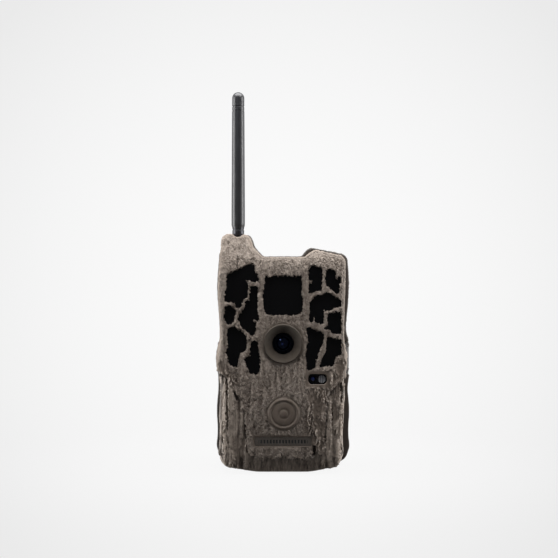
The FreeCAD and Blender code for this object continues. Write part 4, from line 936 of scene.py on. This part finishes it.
def key_symbols(material):
    """Raised arrow on each direction key and a ring on the middle one."""
    turns = {"key_up": 0, "key_left": 90, "key_down": 180, "key_right": 270, "key_ok": None}
    for node, turn in turns.items():
        low, high = (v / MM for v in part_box(node))
        spot = ((low.x + high.x) / 2, (low.z + high.z) / 2, high.y - 0.06)
        shape = ring_symbol(*spot) if turn is None else arrow_symbol(*spot, turn)
        piece = new_piece("symbol_" + node, *shape, material, node, smooth_shading=False)


# ---- Stage ----
def area_light(name, place, target, size, radiance, colour=(1, 1, 1)):
    """Rectangular soft light; radiance is what its face shines with."""
    data = bpy.data.lights.new(name, "AREA")
    data.shape = "RECTANGLE"
    data.size, data.size_y = (s * MM for s in size)
    data.energy = radiance * math.pi * data.size * data.size_y
    data.color = colour
    light = bpy.data.objects.new(name, data)
    light.location = Vector(place) * MM
    light.rotation_euler = (Vector(target) - Vector(place)).to_track_quat("-Z", "Y").to_euler()
    bpy.context.scene.collection.objects.link(light)


def camera():
    """Level camera straight in front of the case."""
    data = bpy.data.cameras.new("camera")
    data.sensor_width = 36.0
    data.lens = 36.0 * VIEW_DISTANCE / VIEW_WIDTH
    data.clip_end = 100
    place = bpy.data.objects.new("camera", data)
    place.location = Vector((VIEW_CENTRE[0], FRONT_Y - VIEW_DISTANCE, VIEW_CENTRE[1])) * MM
    place.rotation_euler = (math.pi / 2, 0, 0)
    bpy.context.scene.collection.objects.link(place)
    bpy.context.scene.camera = place


def world():
    """Pale backdrop, brightest straight behind, which lights the case from behind and from the sides."""
    backdrop = bpy.data.worlds.new("studio")
    bpy.context.scene.world = backdrop
    backdrop.use_nodes = True
    nt = backdrop.node_tree
    nt.nodes.clear()
    coords = nt.nodes.new("ShaderNodeTexCoord")
    split = nt.nodes.new("ShaderNodeSeparateXYZ")
    nt.links.new(coords.outputs["Generated"], split.inputs[0])

    def ranged(source, low, high, at_low, at_high):
        """Ramp from at_low where source is low to at_high where it is high."""
        node = nt.nodes.new("ShaderNodeMapRange")
        for key, value in (("From Min", low), ("From Max", high), ("To Min", at_low), ("To Max", at_high)):
            node.inputs[key].default_value = value
        nt.links.new(source, node.inputs["Value"])
        return node.outputs[0]

    seen = nt.nodes.new("ShaderNodeBackground")
    seen.inputs["Color"].default_value = (1, 1, 1, 1)
    nt.links.new(ranged(split.outputs["Y"], 0.955, 1.0, 0.825, 0.965), seen.inputs["Strength"])
    lit = nt.nodes.new("ShaderNodeBackground")
    lit.inputs["Color"].default_value = (1, 1, 1, 1)
    nt.links.new(ranged(split.outputs["Y"], -0.2, 0.4, 0.05, 0.8), lit.inputs["Strength"])
    path = nt.nodes.new("ShaderNodeLightPath")
    mix = nt.nodes.new("ShaderNodeMixShader")
    output = nt.nodes.new("ShaderNodeOutputWorld")
    nt.links.new(path.outputs["Is Camera Ray"], mix.inputs[0])
    nt.links.new(lit.outputs[0], mix.inputs[1])
    nt.links.new(seen.outputs[0], mix.inputs[2])
    nt.links.new(mix.outputs[0], output.inputs[0])


def floor():
    """Pale floor that takes a faint contact shadow and fades into the backdrop."""
    half, drop = 1500, 0.2
    corners = [(x * half * MM, y * half * MM, -drop * MM) for x, y in ((-1, -1), (1, -1), (1, 1), (-1, 1))]
    mesh = bpy.data.meshes.new("floor")
    mesh.from_pydata(corners, [], [(0, 1, 2, 3)])
    piece = bpy.data.objects.new("floor", mesh)
    bpy.context.scene.collection.objects.link(piece)
    s = Shader("floor", Base_Color=(0.8, 0.8, 0.8), Roughness=0.9)
    place = s.add("ShaderNodeTexCoord").outputs["Object"]
    distance = s.add("ShaderNodeVectorMath", {"operation": "LENGTH"}, i0=place).outputs["Value"]
    share = s.between(distance, 0.08, 0.30, 0.02, 0.0)
    s.blend_out(share, s.add("ShaderNodeBsdfTransparent"), s.surface)
    mesh.materials.append(s.material)


def studio():
    """Camera, backdrop, floor and the four soft lights."""
    bpy.context.scene.view_settings.view_transform = "Standard"
    camera()
    world()
    floor()
    area_light("top", (0, -90, 560), (0, -30, 60), (560, 300), 11.0)
    area_light("left", (-600, -78, 150), (0, -40, 110), (300, 600), 8.8)
    area_light("right", (600, -78, 150), (0, -40, 110), (300, 600), 8.8)
    area_light("spark", (-250, -700, 420), (0, -40, 96), (60, 60), 16.0, (0.8, 0.88, 1.0))


# ---- Put together ----
def dress_nodes():
    """Materials for the CAD nodes, and the pieces that stand in for some of them."""
    steel = metal("steel_wire", (0.72, 0.71, 0.69), 0.28)
    tin = metal("tin_plate", (0.66, 0.66, 0.64), 0.34, (2.0, 2.0, 0.3))
    black = plastic("black_plastic", (0.022, 0.022, 0.024), 0.5)
    board = circuit("circuit_board")
    assign(gloss_window("infrared_window"), "ir_window_left", "ir_window_right", "sensor_window")
    assign(gloss_window("motion_window", 0.02), "pir_lens")
    assign(bezel_material(), "lens_bezel")
    assign(thin_glass("cover_glass", (0.86, 0.9, 1.0)), "lens_window")
    assign(lens_material(), "lens_glass")
    assign(metal("black_anodised", (0.03, 0.03, 0.033), 0.35, (3, 0.2, 3)), "lens_barrel")
    assign(black, "lens_holder", "ir_cut_slider", "pir_shroud", "mode_switch_base", "tact_switches",
           "dc_jack", "lcd_module")
    assign(thin_glass("filter_glass", (0.55, 0.10, 0.16)), "ir_cut_panes")
    assign(plastic("sensor_die", (0.05, 0.07, 0.09), 0.15, 0.5, 0.004), "image_sensor")
    assign(board, "led_board_left", "led_board_right", "sensor_board", "main_board")
    assign(plastic("tinted_epoxy", (0.05, 0.035, 0.05), 0.12, 1.0, 0.004), "ir_leds")
    assign(blue_dome(), "status_led")
    assign(faceted_sensor(), "light_sensor")
    assign(tin, "pir_sensor", "cellular_module", "card_sockets", "usb_port")
    assign(steel, "case_screws", "bracket_screws", "hinge_pin", "latch_pin")
    assign(metal("blackened_steel", (0.045, 0.042, 0.04), 0.42), "latch_bail")
    assign(metal("brass", (0.72, 0.52, 0.24), 0.25), "tripod_insert", "antenna_radiator")
    assign(metal("black_nickel", (0.05, 0.05, 0.055), 0.3), "sma_jack", "sma_nut")
    assign(plastic("bracket_plastic", (0.075, 0.063, 0.053), 0.55, 0.35, 0.05, 0.3), "tree_bracket")
    assign(plastic("card_plastic", (0.03, 0.05, 0.13), 0.42), "sd_card")
    assign(plastic("knob_plastic", (0.16, 0.155, 0.15), 0.5), "mode_switch_knob")
    assign(plastic("panel_plastic", (0.040, 0.038, 0.035), 0.55, 0.3, 0.04), "inner_panel")
    assign(plastic("tray_plastic", (0.055, 0.053, 0.05), 0.5, 0.3, 0.03), "battery_tray")
    assign(screen_material(), "lcd_window")
    assign(rubber("key_rubber", (0.030, 0.030, 0.032), 0.6),
           "key_up", "key_down", "key_left", "key_right", "key_ok")
    assign(rubber("seal_rubber", (0.018, 0.018, 0.018), 0.62),
           "door_gasket", "power_port_plug", "antenna_pigtail")
    assign(rubber("antenna_rubber", (0.016, 0.016, 0.018), 0.36, 0.012), "antenna_sleeve", "antenna_cap")
    assign(metal("antenna_collar", (0.06, 0.06, 0.065), 0.38, (0.2, 0.2, 2)), "antenna_collar")
    assign(plastic("latch_plastic", (0.05, 0.043, 0.037), 0.5, 0.3, 0.03), "latch_lever")
    assign(nameplate_material(), "nameplate")
    cells_and_springs(steel)
    key_symbols(plastic("symbol_ink", (0.55, 0.55, 0.54), 0.5))


def shells():
    """The two carved shells, each under its own bark; the rear's bark is a darker copy, partly its own tone
    and partly painted shade.
    """
    front = carved_shell("front_housing", 0.5, front_relief, front_keep_out,
                         lambda p, n: (n[:, 1] < 0.4) & (p[:, 1] < -11.5), faces_kept=185000)
    front.data.materials.clear()
    front.data.materials.append(bark_material("bark", (0.145, 0.113, 0.089), (0.205, 0.164, 0.133),
                                              (0.37, 0.312, 0.262)))
    rear = carved_shell("rear_housing", 0.6, rear_relief, rear_keep_out,
                        lambda p, n: (n[:, 1] > -0.4) & (p[:, 1] > -10.8), faces_kept=165000)
    rear.data.materials.clear()
    # The rear bark is a darker copy of the front's: partly the rear's own darker tone and partly painted
    # shade for the shadow it lies in behind the front shell.
    rear.data.materials.append(bark_material("rear_bark_tone_and_shade", (0.043, 0.034, 0.028), (0.060, 0.049, 0.041),
                                             (0.10, 0.085, 0.072)))


studio()
dress_nodes()
shells()
